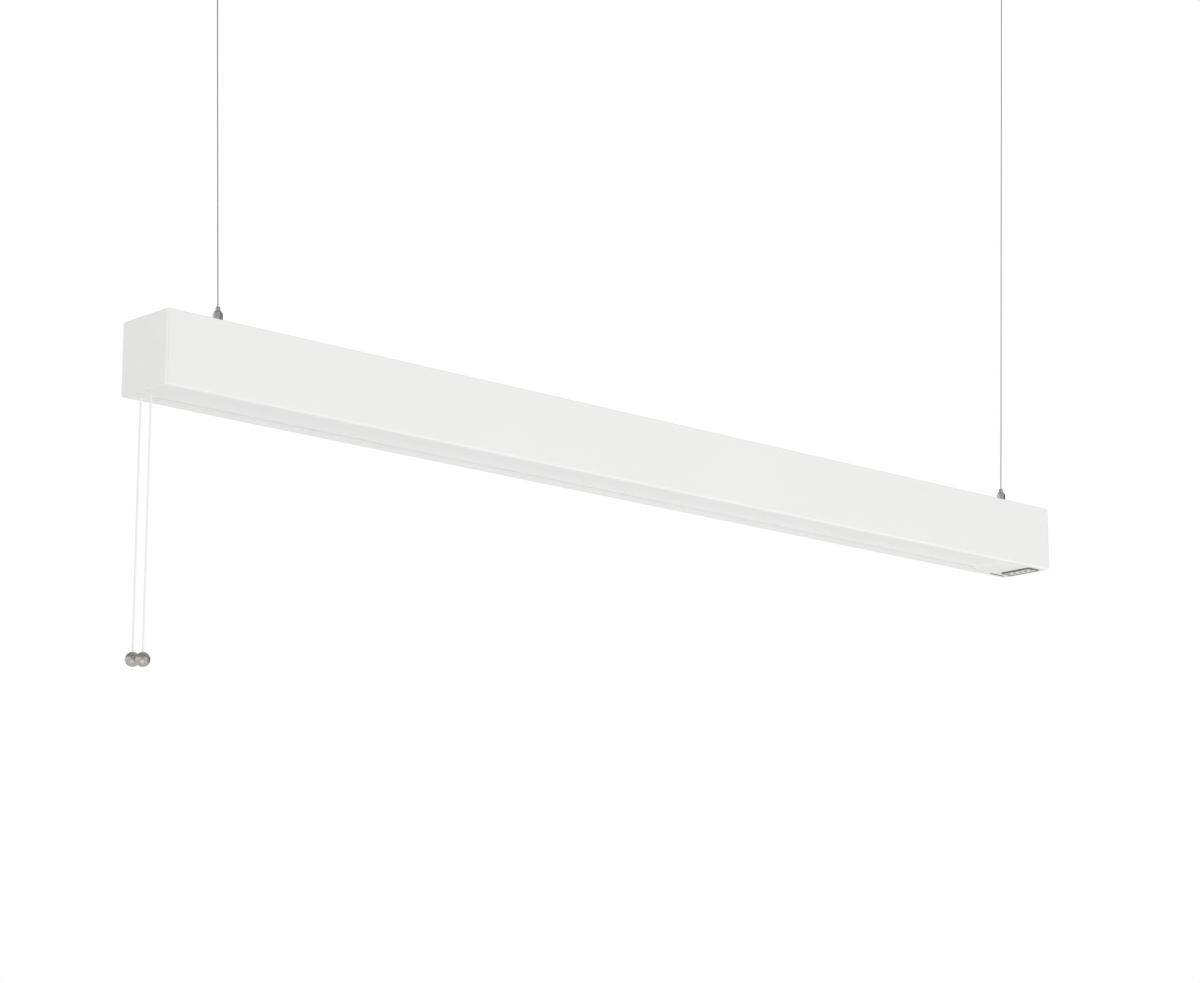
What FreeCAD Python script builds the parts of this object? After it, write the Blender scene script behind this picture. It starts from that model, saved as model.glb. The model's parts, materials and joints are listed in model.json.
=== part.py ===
import FreeCAD, Part
import math
import os
import re
import Sketcher

# A straight white pendant light for a workshop. It hangs on two thin steel wires from two
# ceiling cups and is switched by two pull cords. Millimetres, +Z up, +X along the light to
# the end with the power inlet. The origin is on the ceiling, midway between the two screws.

# ---------------------------------------------------------------- driving sizes
SIZES = {
    # the light as a whole
    "length_all": 1200.0,  # over both end caps
    "width_all": 67.0,
    "height_all": 69.0,
    "drop": 640.0,  # ceiling to the top of the housing
    "hanger_left": 79.0,  # left end to the left gripper
    "hanger_right": 41.0,  # right end to the right gripper
    "lean_left": 20.0,  # how far each wire leans outwards on its way up
    "lean_right": 26.0,
    "fit_gap": 0.2,  # play of a piece that slots into another
    "clear_gap": 0.4,  # air between neighbours that never touch
    # extruded housing
    "wall": 1.8,
    "lip_width": 7.5,
    "lip_wall": 1.5,
    "lip_rise": 4.5,
    "rail_rise": 24.0,
    "rail_depth": 2.4,
    "rail_wall": 1.2,
    # end caps
    "cap_wall": 3.0,
    "cap_round": 2.5,
    "tab_length": 8.0,
    "tab_wall": 2.0,
    "tab_width": 40.0,
    "tab_lift": 6.2,
    "tab_height": 20.0,
    # bottom covers and diffuser
    "cover_rise": 0.6,
    "cover_wall": 2.5,
    "cover_spare": 3.6,
    "cover_right": 64.0,
    "cover_ramp": 10.0,
    "diffuser_wall": 2.0,
    "diffuser_play": 0.6,
    # gear tray and light boards
    "tray_wall": 1.2,
    "tray_flange": 4.0,
    "tray_spare": 5.6,
    "tray_right": 34.0,
    "board_gap": 15.0,
    "board_width": 36.0,
    "board_wall": 1.6,
    "chip_length": 3.5,
    "chip_width": 2.8,
    "chip_wall": 0.7,
    "chip_row": 9.0,
    "chip_margin": 12.0,
    "rivet_inset": 4.5,
    "rivet_radius": 1.25,
    "rivet_head": 2.4,
    "rivet_cap": 0.8,
    # drivers, terminal block and leads
    "driver_first": 200.0,
    "driver_second": 640.0,
    "driver_length": 220.0,
    "driver_gap": 2.75,
    "driver_height": 18.0,
    "foot_length": 10.0,
    "foot_wall": 1.5,
    "screw_radius": 1.5,
    "screw_head": 2.7,
    "screw_cap": 1.8,
    "block_length": 30.0,
    "block_width": 44.0,
    "block_height": 30.0,
    "lead_radius": 1.75,
    "lead_lift": 7.6,
    "link_radius": 1.5,
    "link_lift": 9.0,
    "clip_length": 4.0,
    "clip_wall": 2.0,
    "mains_radius": 4.0,
    "mains_lift": 15.6,
    "mains_bend": 9.0,
    # pull switches
    "cord_shift": 3.75,
    "switch_length": 17.0,
    "switch_width": 14.0,
    "switch_space": 1.5,
    "switch_front": 3.1,
    "switch_crown": 1.35,
    "switch_floor": 3.5,
    "slide_radius": 2.18,
    "slide_play": 0.08,
    "slide_length": 10.0,
    "slide_stop": 0.3,
    "spring_length": 13.4,
    "spring_wall": 0.65,
    "cord_radius": 0.9,
    "cord_seat": 6.0,
    "cord_play": 0.4,
    "bush_radius": 3.0,
    "ball_radius": 6.5,
    "ball_drop_far": 236.5,
    "ball_drop_near": 238.5,
    "ball_floor": 3.0,
    # power inlet
    "inlet_inset": 10.0,
    "inlet_width": 16.0,
    "inlet_length": 41.2,
    "inlet_wall": 1.4,
    "inlet_lap": 0.6,
    "inlet_proud": 1.2,
    "inlet_step": 0.5,
    "inlet_height": 18.0,
    "lug_width": 10.0,
    "lug_height": 2.0,
    "pole_radius": 1.9,
    "pole_depth": 9.0,
    "pole_edge": 1.4,
    "pole_sleeve": 6.0,
    "pole_bore": 1.2,
    # wire grippers
    "grip_flats": 8.2,
    "grip_hex": 16.5,
    "grip_cone": 2.0,
    "grip_rim": 0.54,
    "grip_floor": 6.0,
    "grip_room": 7.0,
    "grip_wall": 0.8,
    "tip_radius": 2.2,
    "tip_play": 0.06,
    "tip_bore": 1.0,
    "tip_proud": 3.7,
    "tip_cone": 1.5,
    "tip_point": 1.8,
    "tip_rim": 1.5,
    "tip_stop": 0.3,
    "room_play": 0.3,
    "coil_wire": 0.55,
    "collet_taper": 0.25,
    "collet_height": 2.6,
    "stud_radius": 3.0,
    "stud_play": 0.2,
    "stud_length": 8.5,
    "nut_flats": 10.0,
    "nut_height": 5.0,
    "tail_depth": 11.0,
    "wire_radius": 0.5,
    "wire_entry": 3.0,
    # ceiling cups
    "cup_radius": 11.0,
    "cup_height": 24.0,
    "cup_gap": 0.5,
    "cup_wall": 1.5,
    "cup_step": 1.5,
    "cup_seat": 1.5,
    "base_wall": 5.0,
    "screw_hole": 2.25,
    "screw_sink": 4.5,
    "screw_land": 2.6,
    "knob_radius": 2.5,
    "knob_play": 0.05,
    "knob_grip": 1.0,
    "pivot_rise": 4.5,
    "throat_radius": 1.9,
    "flare_radius": 3.6,
}

CHIPS_PER_ROW = 14
BOARDS = 4
POLES = 5
GRIP_TURN = 17.0  # degrees that a gripper's flats are turned from the light's axes

# Places and sizes that follow from the driving ones.
DERIVED = {
    "screw_pitch": "length_all - hanger_left - hanger_right + lean_left + lean_right",
    "x_left": "lean_left - hanger_left - screw_pitch / 2",
    "x_right": "x_left + length_all",
    "x_grip_left": "x_left + hanger_left",
    "x_grip_right": "x_right - hanger_right",
    "z_top": "-drop",
    "z_low": "-(drop + height_all)",
    "half_width": "width_all / 2",
    "half_open": "half_width - lip_width",
    "half_slot": "half_open - fit_gap",
    "side_in": "half_width - wall",
    "z_roof": "z_top - wall",
    "cover_top": "cover_rise + cover_wall",
    "cover_high": "cover_top + cover_wall",
    "switch_end": "cap_wall + clear_gap + switch_length",
    "cover_left": "switch_end + cover_spare",
    "tray_left": "switch_end + tray_spare",
    "x_body_left": "x_left + cap_wall",
    "x_body_right": "x_right - cap_wall",
    "tray_floor": "rail_rise + rail_wall",
    "tray_top": "tray_floor + tray_wall",
    "rail_top": "tray_top + fit_gap",
    "tab_rise": "rail_top + rail_wall + tab_lift",
    "tray_length": "length_all - tray_left - tray_right",
    "board_pitch": f"tray_length / {BOARDS}",
    "board_length": "board_pitch - board_gap",
    "block_end": "x_right - tray_right - board_gap / 2 - rivet_inset - rivet_head - clear_gap",
    "x_block": "block_end - block_length",
    "slide_floor": "cover_top + switch_floor",
    "slide_base": "slide_floor + spring_length",
    "z_pivot": "pivot_rise - cup_height",
    "x_cord": "x_body_left + clear_gap + switch_front",
    "cord_far": "cord_shift + (switch_width + switch_space) / 2",
    "cord_near": "cord_shift - (switch_width + switch_space) / 2",
    "lead_rise": "tray_top + lead_lift",
    "switch_height": "lead_rise + lead_radius + switch_crown - cover_top",
    "clip_edge": "cord_near - lead_radius - clip_wall / 2",
    "tray_edge": "side_in - rail_depth - fit_gap - tray_wall",
    "driver_side": "driver_gap - tray_edge",
    "driver_width": "clip_edge - clear_gap - driver_side",
    "y_driver": "driver_side + driver_width / 2",
    "x_inlet": "x_right - inlet_inset - inlet_width",
    "x_pole": "x_inlet + inlet_width / 2",
    "y_inlet": "inlet_length / 2 - half_slot",
    "pole_pitch": "(inlet_length / 2 - inlet_wall - pole_edge - pole_radius) / pole_steps",
    "pole_steps": f"{(POLES - 1) / 2}",
    "grip_bore": "grip_flats / 2 - grip_wall",
    "grip_neck": "tip_radius + tip_play + grip_rim",
    "coil_outer": "grip_bore - room_play",
    "coil_inner": "coil_outer - coil_wire",
    "collet_base": "coil_inner - room_play",
    "z_mouth": "z_top + grip_hex + grip_cone + tip_proud",
    "z_wire": "z_mouth - wire_entry",
    "wire_rise": "z_pivot - z_wire",
    "base_radius": "cup_radius - cup_wall",
    "cup_room": "base_radius - cup_step",
    "cup_floor": "pivot_rise + cup_seat",
    "seat_radius": "knob_radius + knob_play",
    "throat_drop": "sqrt(seat_radius ^ 2 - throat_radius ^ 2)",
}

doc = FreeCAD.newDocument("pendant_light")
sheet = doc.addObject("Spreadsheet::Sheet", "sizes")
for row, (alias, value) in enumerate(SIZES.items(), start=1):
    sheet.set(f"A{row}", str(value))
    sheet.setAlias(f"A{row}", alias)
doc.recompute()

nodes = {}


# ---------------------------------------------------------------- helpers
def expr(text):
    """The same formula with every name followed back to a cell of the sheet."""

    def swap(match):
        word = match[0]
        if word in DERIVED:
            return "(" + expr(DERIVED[word]) + ")"
        return f"sizes.{word}" if word in SIZES else word

    return re.sub(r"[a-z][a-z_0-9]*", swap, str(text))


def num(text):
    """The value of a formula in millimetres."""
    return float(sheet.evalExpression(expr(text)))


def bind(item, name, text):
    item.setExpression(name, expr(text))


def place(item, x="0", y="0", z="0"):
    bind(item, "Placement.Base.x", x)
    bind(item, "Placement.Base.y", y)
    bind(item, "Placement.Base.z", z)
    return item


def node(name, item):
    """Give a finished sub-part its name."""
    item.Label = name
    nodes[name] = item
    return item


def box(name, size, low):
    """A block from its three sizes and its lowest corner."""
    item = doc.addObject("Part::Box", name)
    for side, text in zip(("Length", "Width", "Height"), size):
        bind(item, side, text)
    return place(item, *low)


def rod(name, radius, height, low):
    """An upright cylinder."""
    item = doc.addObject("Part::Cylinder", name)
    bind(item, "Radius", radius)
    bind(item, "Height", height)
    return place(item, *low)


def long_rod(name, radius, x_from, x_to, y, z):
    """A cylinder that lies along X."""
    item = doc.addObject("Part::Cylinder", name)
    item.Placement = FreeCAD.Placement(
        FreeCAD.Vector(), FreeCAD.Rotation(FreeCAD.Vector(0, 1, 0), 90)
    )
    bind(item, "Radius", radius)
    bind(item, "Height", f"({x_to}) - ({x_from})")
    return place(item, x_from, y, z)


def fuse(name, items):
    item = doc.addObject("Part::MultiFuse", name)
    item.Shapes = items
    item.Refine = True
    return item


def cut(name, base, tools):
    item = doc.addObject("Part::Cut", name)
    item.Base = base
    item.Tool = tools[0] if len(tools) == 1 else fuse(name + "_tools", tools)
    item.Refine = True
    return item


def outline(body, name, role, points):
    """A closed sketch of straight lines on one of the body's own planes."""
    sketch = body.newObject("Sketcher::SketchObject", name)
    plane = next(f for f in body.Origin.OriginFeatures if f.Role == role)
    sketch.AttachmentSupport = [(plane, "")]
    sketch.MapMode = "FlatFace"
    places = [FreeCAD.Vector(num(x), num(y), 0) for x, y in points]
    count = len(places)
    for i, start in enumerate(places):
        sketch.addGeometry(Part.LineSegment(start, places[(i + 1) % count]), False)
    for i in range(count):
        sketch.addConstraint(Sketcher.Constraint("Coincident", i, 2, (i + 1) % count, 1))
    for i, pair in enumerate(points):
        for way, axis, text in zip(("DistanceX", "DistanceY"), (-2, -1), pair):
            if abs(num(text)) < 1e-9:
                sketch.addConstraint(Sketcher.Constraint("PointOnObject", i, 1, axis))
                continue
            index = sketch.addConstraint(Sketcher.Constraint(way, -1, 1, i, 1, num(text)))
            sketch.setExpression(f"Constraints[{index}]", expr(text))
    return sketch


def mirrored_outline(half):
    """The points of one side, then the same points on the other side in reverse."""
    return half + [(f"-({y})", z) for y, z in reversed(half)]


def pad(body, sketch, name, length):
    item = body.newObject("PartDesign::Pad", name)
    item.Profile = sketch
    bind(item, "Length", length)
    return item


def turned(name, points):
    """A body of revolution about Z from (radius, height) points."""
    body = doc.addObject("PartDesign::Body", name)
    sketch = outline(body, name + "_half", "XZ_Plane", points)
    item = body.newObject("PartDesign::Revolution", name + "_turn")
    item.Profile = sketch
    item.ReferenceAxis = (sketch, ["V_Axis"])
    item.Angle = 360.0
    return body


def group(name, shapes):
    """Several alike solids that share one name."""
    item = doc.addObject("Part::Feature", name)
    item.Shape = Part.makeCompound(shapes)
    return node(name, item)


def block_at(size, low):
    """A plain block shape for a group, from formulas."""
    corner = FreeCAD.Vector(*[num(t) for t in low])
    return Part.makeBox(*[num(t) for t in size], corner)


def rod_at(radius, height, low):
    corner = FreeCAD.Vector(*[num(t) for t in low])
    return Part.makeCylinder(num(radius), num(height), corner)


# ---------------------------------------------------------------- housing and ends
def make_housing():
    """Extruded shell: a box open below, with two lips and two pairs of tray rails."""
    half = [
        ("half_width", "height_all"),
        ("half_width", "0"),
        ("half_open", "0"),
        ("half_open", "lip_rise"),
        ("half_open + lip_wall", "lip_rise"),
        ("half_open + lip_wall", "lip_wall"),
        ("side_in", "lip_wall"),
        ("side_in", "rail_rise"),
        ("side_in - rail_depth", "rail_rise"),
        ("side_in - rail_depth", "tray_floor"),
        ("side_in", "tray_floor"),
        ("side_in", "rail_top"),
        ("side_in - rail_depth", "rail_top"),
        ("side_in - rail_depth", "rail_top + rail_wall"),
        ("side_in", "rail_top + rail_wall"),
        ("side_in", "height_all - wall"),
    ]
    body = doc.addObject("PartDesign::Body", "shell")
    sketch = outline(body, "shell_section", "YZ_Plane", mirrored_outline(half))
    pad(body, sketch, "shell_length", "length_all - 2 * cap_wall")
    place(body, "x_body_left", "0", "z_low")
    holes = [
        rod(f"shell_hole_{i}", "stud_radius + stud_play", "3 * wall", (x, "0", "z_top - 2 * wall"))
        for i, x in enumerate(("x_grip_left", "x_grip_right"))
    ]
    node("housing_profile", cut("housing", body, holes))


def make_end_cap(side, x_plate, x_tab, x_rounded):
    """Moulded plate with softened outer edges and three tabs that push into the housing."""
    plate = box(f"cap_{side}_plate", ("cap_wall", "width_all", "height_all"),
                (x_plate, "-half_width", "z_low"))
    doc.recompute()
    soft = doc.addObject("Part::Fillet", f"cap_{side}_soft")
    soft.Base = plate
    outer = [
        i + 1
        for i, edge in enumerate(plate.Shape.Edges)
        if all(abs(v.X - num(x_rounded)) < 1e-6 for v in edge.Vertexes)
    ]
    radius = min(num("cap_round"), num("cap_wall - fit_gap"))
    soft.Edges = [(i, radius, radius) for i in outer]
    tab = "tab_length + cap_wall / 2"
    tabs = [
        box(f"cap_{side}_top", (tab, "tab_width", "tab_wall"),
            (x_tab, "-tab_width / 2", "z_roof - fit_gap - tab_wall")),
        box(f"cap_{side}_near", (tab, "tab_wall", "tab_height"),
            (x_tab, "fit_gap - side_in", "z_low + tab_rise")),
        box(f"cap_{side}_far", (tab, "tab_wall", "tab_height"),
            (x_tab, "side_in - fit_gap - tab_wall", "z_low + tab_rise")),
    ]
    node(f"end_cap_{side}", fuse(f"cap_{side}", [soft] + tabs))


def make_covers():
    """Covers between the lips: a flat one at the cords, a thick one that carries the inlet."""
    low_z = "z_low + cover_rise"
    left = box("cover_left_plate",
               ("cover_left - cap_wall - fit_gap", "2 * half_slot", "cover_wall"),
               ("x_body_left + fit_gap", "-half_slot", low_z))
    holes = [
        rod(f"cover_hole_{i}", "bush_radius", "3 * cover_wall",
            ("x_cord", y, f"{low_z} - cover_wall"))
        for i, y in enumerate(("cord_far", "cord_near"))
    ]
    node("switch_cover", cut("cover_left_cut", left, holes))

    right = doc.addObject("PartDesign::Body", "cover_right_plate")
    end = "cover_right - cap_wall - fit_gap"
    sketch = outline(right, "cover_right_side", "XZ_Plane", [
        ("0", "lip_rise"),
        ("cover_ramp", "cover_rise"),
        (end, "cover_rise"),
        (end, "cover_high"),
        ("0", "cover_high"),
    ])
    pad(right, sketch, "cover_right_width", "2 * half_slot")
    place(right, "x_right - cover_right", "half_slot", "z_low")
    slot = box("cover_slot",
               ("inlet_width - 2 * inlet_lap + 2 * fit_gap",
                "inlet_length - inlet_lap + half_open - half_slot + fit_gap",
                "cover_high + cover_rise"),
               ("x_inlet + inlet_lap - fit_gap", "-half_open", "z_low"))
    node("inlet_cover", cut("cover_right_cut", right, [slot]))


def make_diffuser():
    """Opal sheet that lies on the lips between the two covers."""
    body = doc.addObject("PartDesign::Body", "opal")
    half = [("side_in - diffuser_play", "0"), ("side_in - diffuser_play", "diffuser_wall")]
    sketch = outline(body, "opal_section", "YZ_Plane", mirrored_outline(half))
    pad(body, sketch, "opal_length",
        "length_all - cover_left - cover_right - 2 * diffuser_play")
    place(body, "x_left + cover_left + diffuser_play", "0", "z_low + lip_rise")
    node("diffuser", body)


# ---------------------------------------------------------------- inside the housing
def board_start(board):
    """The left end of one light board, centred in its share of the tray."""
    return f"x_left + tray_left + {board} * board_pitch + board_gap / 2"


def rivet_places():
    """Where the boards are riveted to the tray: both ends of each board."""
    for board in range(BOARDS):
        start = board_start(board)
        yield f"{start} + rivet_inset"
        yield f"{start} + board_length - rivet_inset"


def driver_starts():
    return ("x_left + driver_first", "x_left + driver_second")


def driver_screw_places():
    for start in driver_starts():
        yield f"{start} - foot_length / 2"
        yield f"{start} + driver_length + foot_length / 2"


def make_tray():
    """Folded steel strip in the housing's rails, with two upturned edges."""
    half_tray = "side_in - fit_gap"
    length = "tray_length"
    start = "x_left + tray_left"
    floor = box("tray_floor_strip", (length, f"2 * ({half_tray})", "tray_wall"),
                (start, f"-({half_tray})", "z_low + tray_floor"))
    edges = [
        box("tray_near", (length, "tray_wall", "tray_wall + tray_flange"),
            (start, "-tray_edge - tray_wall", "z_low + tray_floor")),
        box("tray_far", (length, "tray_wall", "tray_wall + tray_flange"),
            (start, "tray_edge", "z_low + tray_floor")),
    ]
    whole = fuse("tray_whole", [floor] + edges)
    holes = [
        rod(f"tray_rivet_hole_{i}", "rivet_radius", "3 * tray_wall",
            (x, "0", "z_low + tray_floor - tray_wall"))
        for i, x in enumerate(rivet_places())
    ]
    holes += [
        rod(f"tray_screw_hole_{i}", "screw_radius", "3 * tray_wall",
            (x, "y_driver", "z_low + tray_floor - tray_wall"))
        for i, x in enumerate(driver_screw_places())
    ]
    node("gear_tray", cut("tray", whole, holes))


def make_boards():
    """Four light boards under the tray, their rivets, and the rows of light chips."""
    low = "z_low + tray_floor - board_wall"
    rivets = list(rivet_places())
    for board in range(BOARDS):
        start = board_start(board)
        plate = box(f"board_{board}_plate", ("board_length", "board_width", "board_wall"),
                    (start, "-board_width / 2", low))
        holes = [
            rod(f"board_{board}_hole_{i}", "rivet_radius", "3 * board_wall",
                (x, "0", f"{low} - board_wall"))
            for i, x in enumerate(rivets[2 * board:2 * board + 2])
        ]
        node(f"led_board_{board + 1}", cut(f"board_{board}", plate, holes))
    chips = []
    step = f"(board_length - 2 * chip_margin - chip_length) / {CHIPS_PER_ROW - 1}"
    for board in range(BOARDS):
        start = board_start(board)
        for row in ("chip_row", "-chip_row"):
            for i in range(CHIPS_PER_ROW):
                chips.append(block_at(
                    ("chip_length", "chip_width", "chip_wall"),
                    (f"{start} + chip_margin + {i} * {step}", f"{row} - chip_width / 2",
                     f"{low} - chip_wall")))
    group("led_chips", chips)
    shapes = []
    for x in rivets:
        stem = rod_at("rivet_radius", "board_wall + tray_wall", (x, "0", low))
        under = rod_at("rivet_head", "rivet_cap", (x, "0", f"{low} - rivet_cap"))
        over = rod_at("rivet_head", "rivet_cap", (x, "0", "z_low + tray_top"))
        shapes.append(stem.fuse([under, over]).removeSplitter())
    group("board_rivets", shapes)


def make_drivers():
    """Two slim drivers on the tray, one for each switched circuit."""
    low = "z_low + tray_top"
    for i, start in enumerate(driver_starts()):
        case = box(f"driver_{i}_case", ("driver_length", "driver_width", "driver_height"),
                   (start, "driver_side", low))
        foot = box(f"driver_{i}_foot",
                   ("driver_length + 2 * foot_length", "driver_width", "foot_wall"),
                   (f"{start} - foot_length", "driver_side", low))
        whole = fuse(f"driver_{i}_whole", [case, foot])
        holes = [
            rod(f"driver_{i}_hole_{k}", "screw_radius", "3 * foot_wall",
                (x, "y_driver", f"{low} - foot_wall"))
            for k, x in enumerate((f"{start} - foot_length / 2",
                                   f"{start} + driver_length + foot_length / 2"))
        ]
        node(f"led_driver_{i + 1}", cut(f"driver_{i}", whole, holes))
    shapes = []
    for x in driver_screw_places():
        stem = rod_at("screw_radius", "foot_wall + tray_wall",
                      (x, "y_driver", "z_low + tray_floor"))
        head = rod_at("screw_head", "screw_cap", (x, "y_driver", f"{low} + foot_wall"))
        shapes.append(stem.fuse(head).removeSplitter())
    group("driver_screws", shapes)


def make_terminals_and_leads():
    """Terminal block beside the inlet and the leads that the tray carries."""
    node("terminal_block",
         box("block", ("block_length", "block_width", "block_height"),
             ("x_block", "-block_width / 2", "z_low + tray_top")))
    rise = "z_low + lead_rise"
    for i, y in enumerate(("cord_far", "cord_near"), start=1):
        lead = long_rod(f"lead_{i}", "lead_radius", "x_left + switch_end", "x_block", y, rise)
        node(f"switch_lead_{i}", lead)
    ends = [f"{start} + driver_length" for start in driver_starts()]
    nexts = [driver_starts()[1], "x_block"]
    for i, (x_from, x_to) in enumerate(zip(ends, nexts), start=1):
        node(f"driver_lead_{i}",
             long_rod(f"link_{i}", "link_radius", x_from, x_to, "y_driver",
                      "z_low + tray_top + link_lift"))
    clips = []
    depth = "cord_far - cord_near + 2 * lead_radius + clip_wall"
    for board in range(BOARDS):
        x = f"x_left + tray_left + ({board} + 0.5) * board_pitch - clip_length / 2"
        clip = block_at(("clip_length", depth, "lead_rise - tray_top + lead_radius + clip_wall"),
                        (x, "clip_edge", "z_low + tray_top"))
        for y in ("cord_far", "cord_near"):
            corner = FreeCAD.Vector(num(f"{x} - clip_length"), num(y), num(rise))
            bore = Part.makeCylinder(num("lead_radius"), num("3 * clip_length"), corner,
                                     FreeCAD.Vector(1, 0, 0))
            clip = clip.cut(bore)
        clips.append(clip)
    group("lead_clips", clips)


def make_mains_lead():
    """Short lead that rises from the inlet and bends over into the terminal block."""
    bend = num("mains_bend")
    x_up, x_end = num("x_pole"), num("block_end")
    z_from, z_to = num("z_low + inlet_height"), num("z_low + tray_top + mains_lift")
    corner = FreeCAD.Vector(x_up - bend, 0, z_to - bend)
    slant = bend * math.sqrt(0.5)
    first = Part.LineSegment(FreeCAD.Vector(x_up, 0, z_from), FreeCAD.Vector(x_up, 0, corner.z))
    turn = Part.Arc(FreeCAD.Vector(x_up, 0, corner.z),
                    corner + FreeCAD.Vector(slant, 0, slant),
                    FreeCAD.Vector(corner.x, 0, z_to))
    last = Part.LineSegment(FreeCAD.Vector(corner.x, 0, z_to), FreeCAD.Vector(x_end, 0, z_to))
    route = Part.Wire([first.toShape(), turn.toShape(), last.toShape()])
    ring = Part.Circle(FreeCAD.Vector(x_up, 0, z_from), FreeCAD.Vector(0, 0, 1),
                       num("mains_radius"))
    item = doc.addObject("Part::Feature", "mains")
    item.Shape = route.makePipeShell([Part.Wire([ring.toShape()])], True, True)
    node("mains_lead", item)


# ---------------------------------------------------------------- power inlet
def make_inlet():
    """Five-pole plug-in inlet: a dark frame, a light insert and five contact sleeves."""
    rim = box("inlet_rim",
              ("inlet_width", "inlet_length", "inlet_proud + cover_rise"),
              ("x_inlet", "-half_slot", "z_low - inlet_proud"))
    walls = box("inlet_walls",
                ("inlet_width - 2 * inlet_lap", "inlet_length - inlet_lap",
                 "inlet_height - cover_rise"),
                ("x_inlet + inlet_lap", "-half_slot", "z_low + cover_rise"))
    lugs = [
        box(f"inlet_lug_{i}", ("inlet_lap", "lug_width", "lug_height"),
            (x, "y_inlet - lug_width / 2", "z_low + cover_high"))
        for i, x in enumerate(("x_inlet", "x_inlet + inlet_width - inlet_lap"))
    ]
    room_size = ("inlet_width - 2 * inlet_wall", "inlet_length - 2 * inlet_wall")
    room = box("inlet_room", (*room_size, "inlet_height + inlet_proud + 2 * inlet_wall"),
               ("x_inlet + inlet_wall", "inlet_wall - half_slot",
                "z_low - inlet_proud - inlet_wall"))
    node("inlet_frame",
         cut("inlet_hollow", fuse("inlet_solid", [rim, walls] + lugs), [room]))
    face = "z_low - inlet_proud + inlet_step"
    insert = box("inlet_insert", (*room_size, "inlet_height + inlet_proud - inlet_step"),
                 ("x_inlet + inlet_wall", "inlet_wall - half_slot", face))
    poles = [f"y_inlet + ({i} - pole_steps) * pole_pitch" for i in range(POLES)]
    holes = [
        rod(f"inlet_hole_{i}", "pole_radius", "2 * pole_depth",
            ("x_pole", y, f"{face} - pole_depth"))
        for i, y in enumerate(poles)
    ]
    node("inlet_body", cut("inlet_core", insert, holes))
    sleeves = []
    for y in poles:
        low = ("x_pole", y, f"{face} + pole_depth - pole_sleeve")
        outer = rod_at("pole_radius", "pole_sleeve", low)
        sleeves.append(outer.cut(rod_at("pole_bore", "pole_sleeve", low)))
    group("inlet_contacts", sleeves)


# ---------------------------------------------------------------- pull switches
def make_pull_switch(i, y, drop):
    """Switch case, sliding cord holder, return spring, pull cord and ball."""
    low = "z_low + cover_top"
    case = box(f"switch_{i}_block", ("switch_length", "switch_width", "switch_height"),
               ("x_body_left + clear_gap", f"{y} - switch_width / 2", low))
    channel = rod(f"switch_{i}_channel", "slide_radius",
                  "spring_length + slide_length + slide_stop", ("x_cord", y, "z_low + slide_floor"))
    throat = rod(f"switch_{i}_throat", "cord_radius + cord_play", "3 * switch_floor",
                 ("x_cord", y, f"{low} - switch_floor"))
    node(f"switch_body_{i}", cut(f"switch_{i}", case, [channel, throat]))

    plunger = turned(f"slider_{i}", [
        ("cord_radius", "0"),
        ("slide_radius - slide_play", "0"),
        ("slide_radius - slide_play", "slide_length"),
        ("0", "slide_length"),
        ("0", "cord_seat"),
        ("cord_radius", "cord_seat"),
    ])
    node(f"switch_plunger_{i}", place(plunger, "x_cord", y, "z_low + slide_base"))

    spring = turned(f"return_{i}", [
        ("slide_radius - slide_play - spring_wall", "0"),
        ("slide_radius - slide_play", "0"),
        ("slide_radius - slide_play", "spring_length"),
        ("slide_radius - slide_play - spring_wall", "spring_length"),
    ])
    node(f"switch_spring_{i}", place(spring, "x_cord", y, "z_low + slide_floor"))

    cord_low = f"z_low - {drop} - ball_radius + ball_floor"
    cord = rod(f"cord_{i}", "cord_radius", f"z_low + slide_base + cord_seat - ({cord_low})",
               ("x_cord", y, cord_low))
    node(f"pull_cord_{i}", cord)

    ball = doc.addObject("Part::Sphere", f"ball_{i}_round")
    bind(ball, "Radius", "ball_radius")
    place(ball, "x_cord", y, f"z_low - {drop}")
    bore = rod(f"ball_{i}_bore", "cord_radius", "2 * ball_radius", ("x_cord", y, cord_low))
    node(f"pull_ball_{i}", cut(f"ball_{i}", ball, [bore]))


def make_bushes():
    """Guide bushes pressed into the cover where the cords leave."""
    shapes = []
    for y in ("cord_far", "cord_near"):
        low = ("x_cord", y, "z_low + cover_rise")
        shapes.append(rod_at("bush_radius", "cover_wall", low).cut(
            rod_at("cord_radius + cord_play", "cover_wall", low)))
    group("cord_bushes", shapes)


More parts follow.
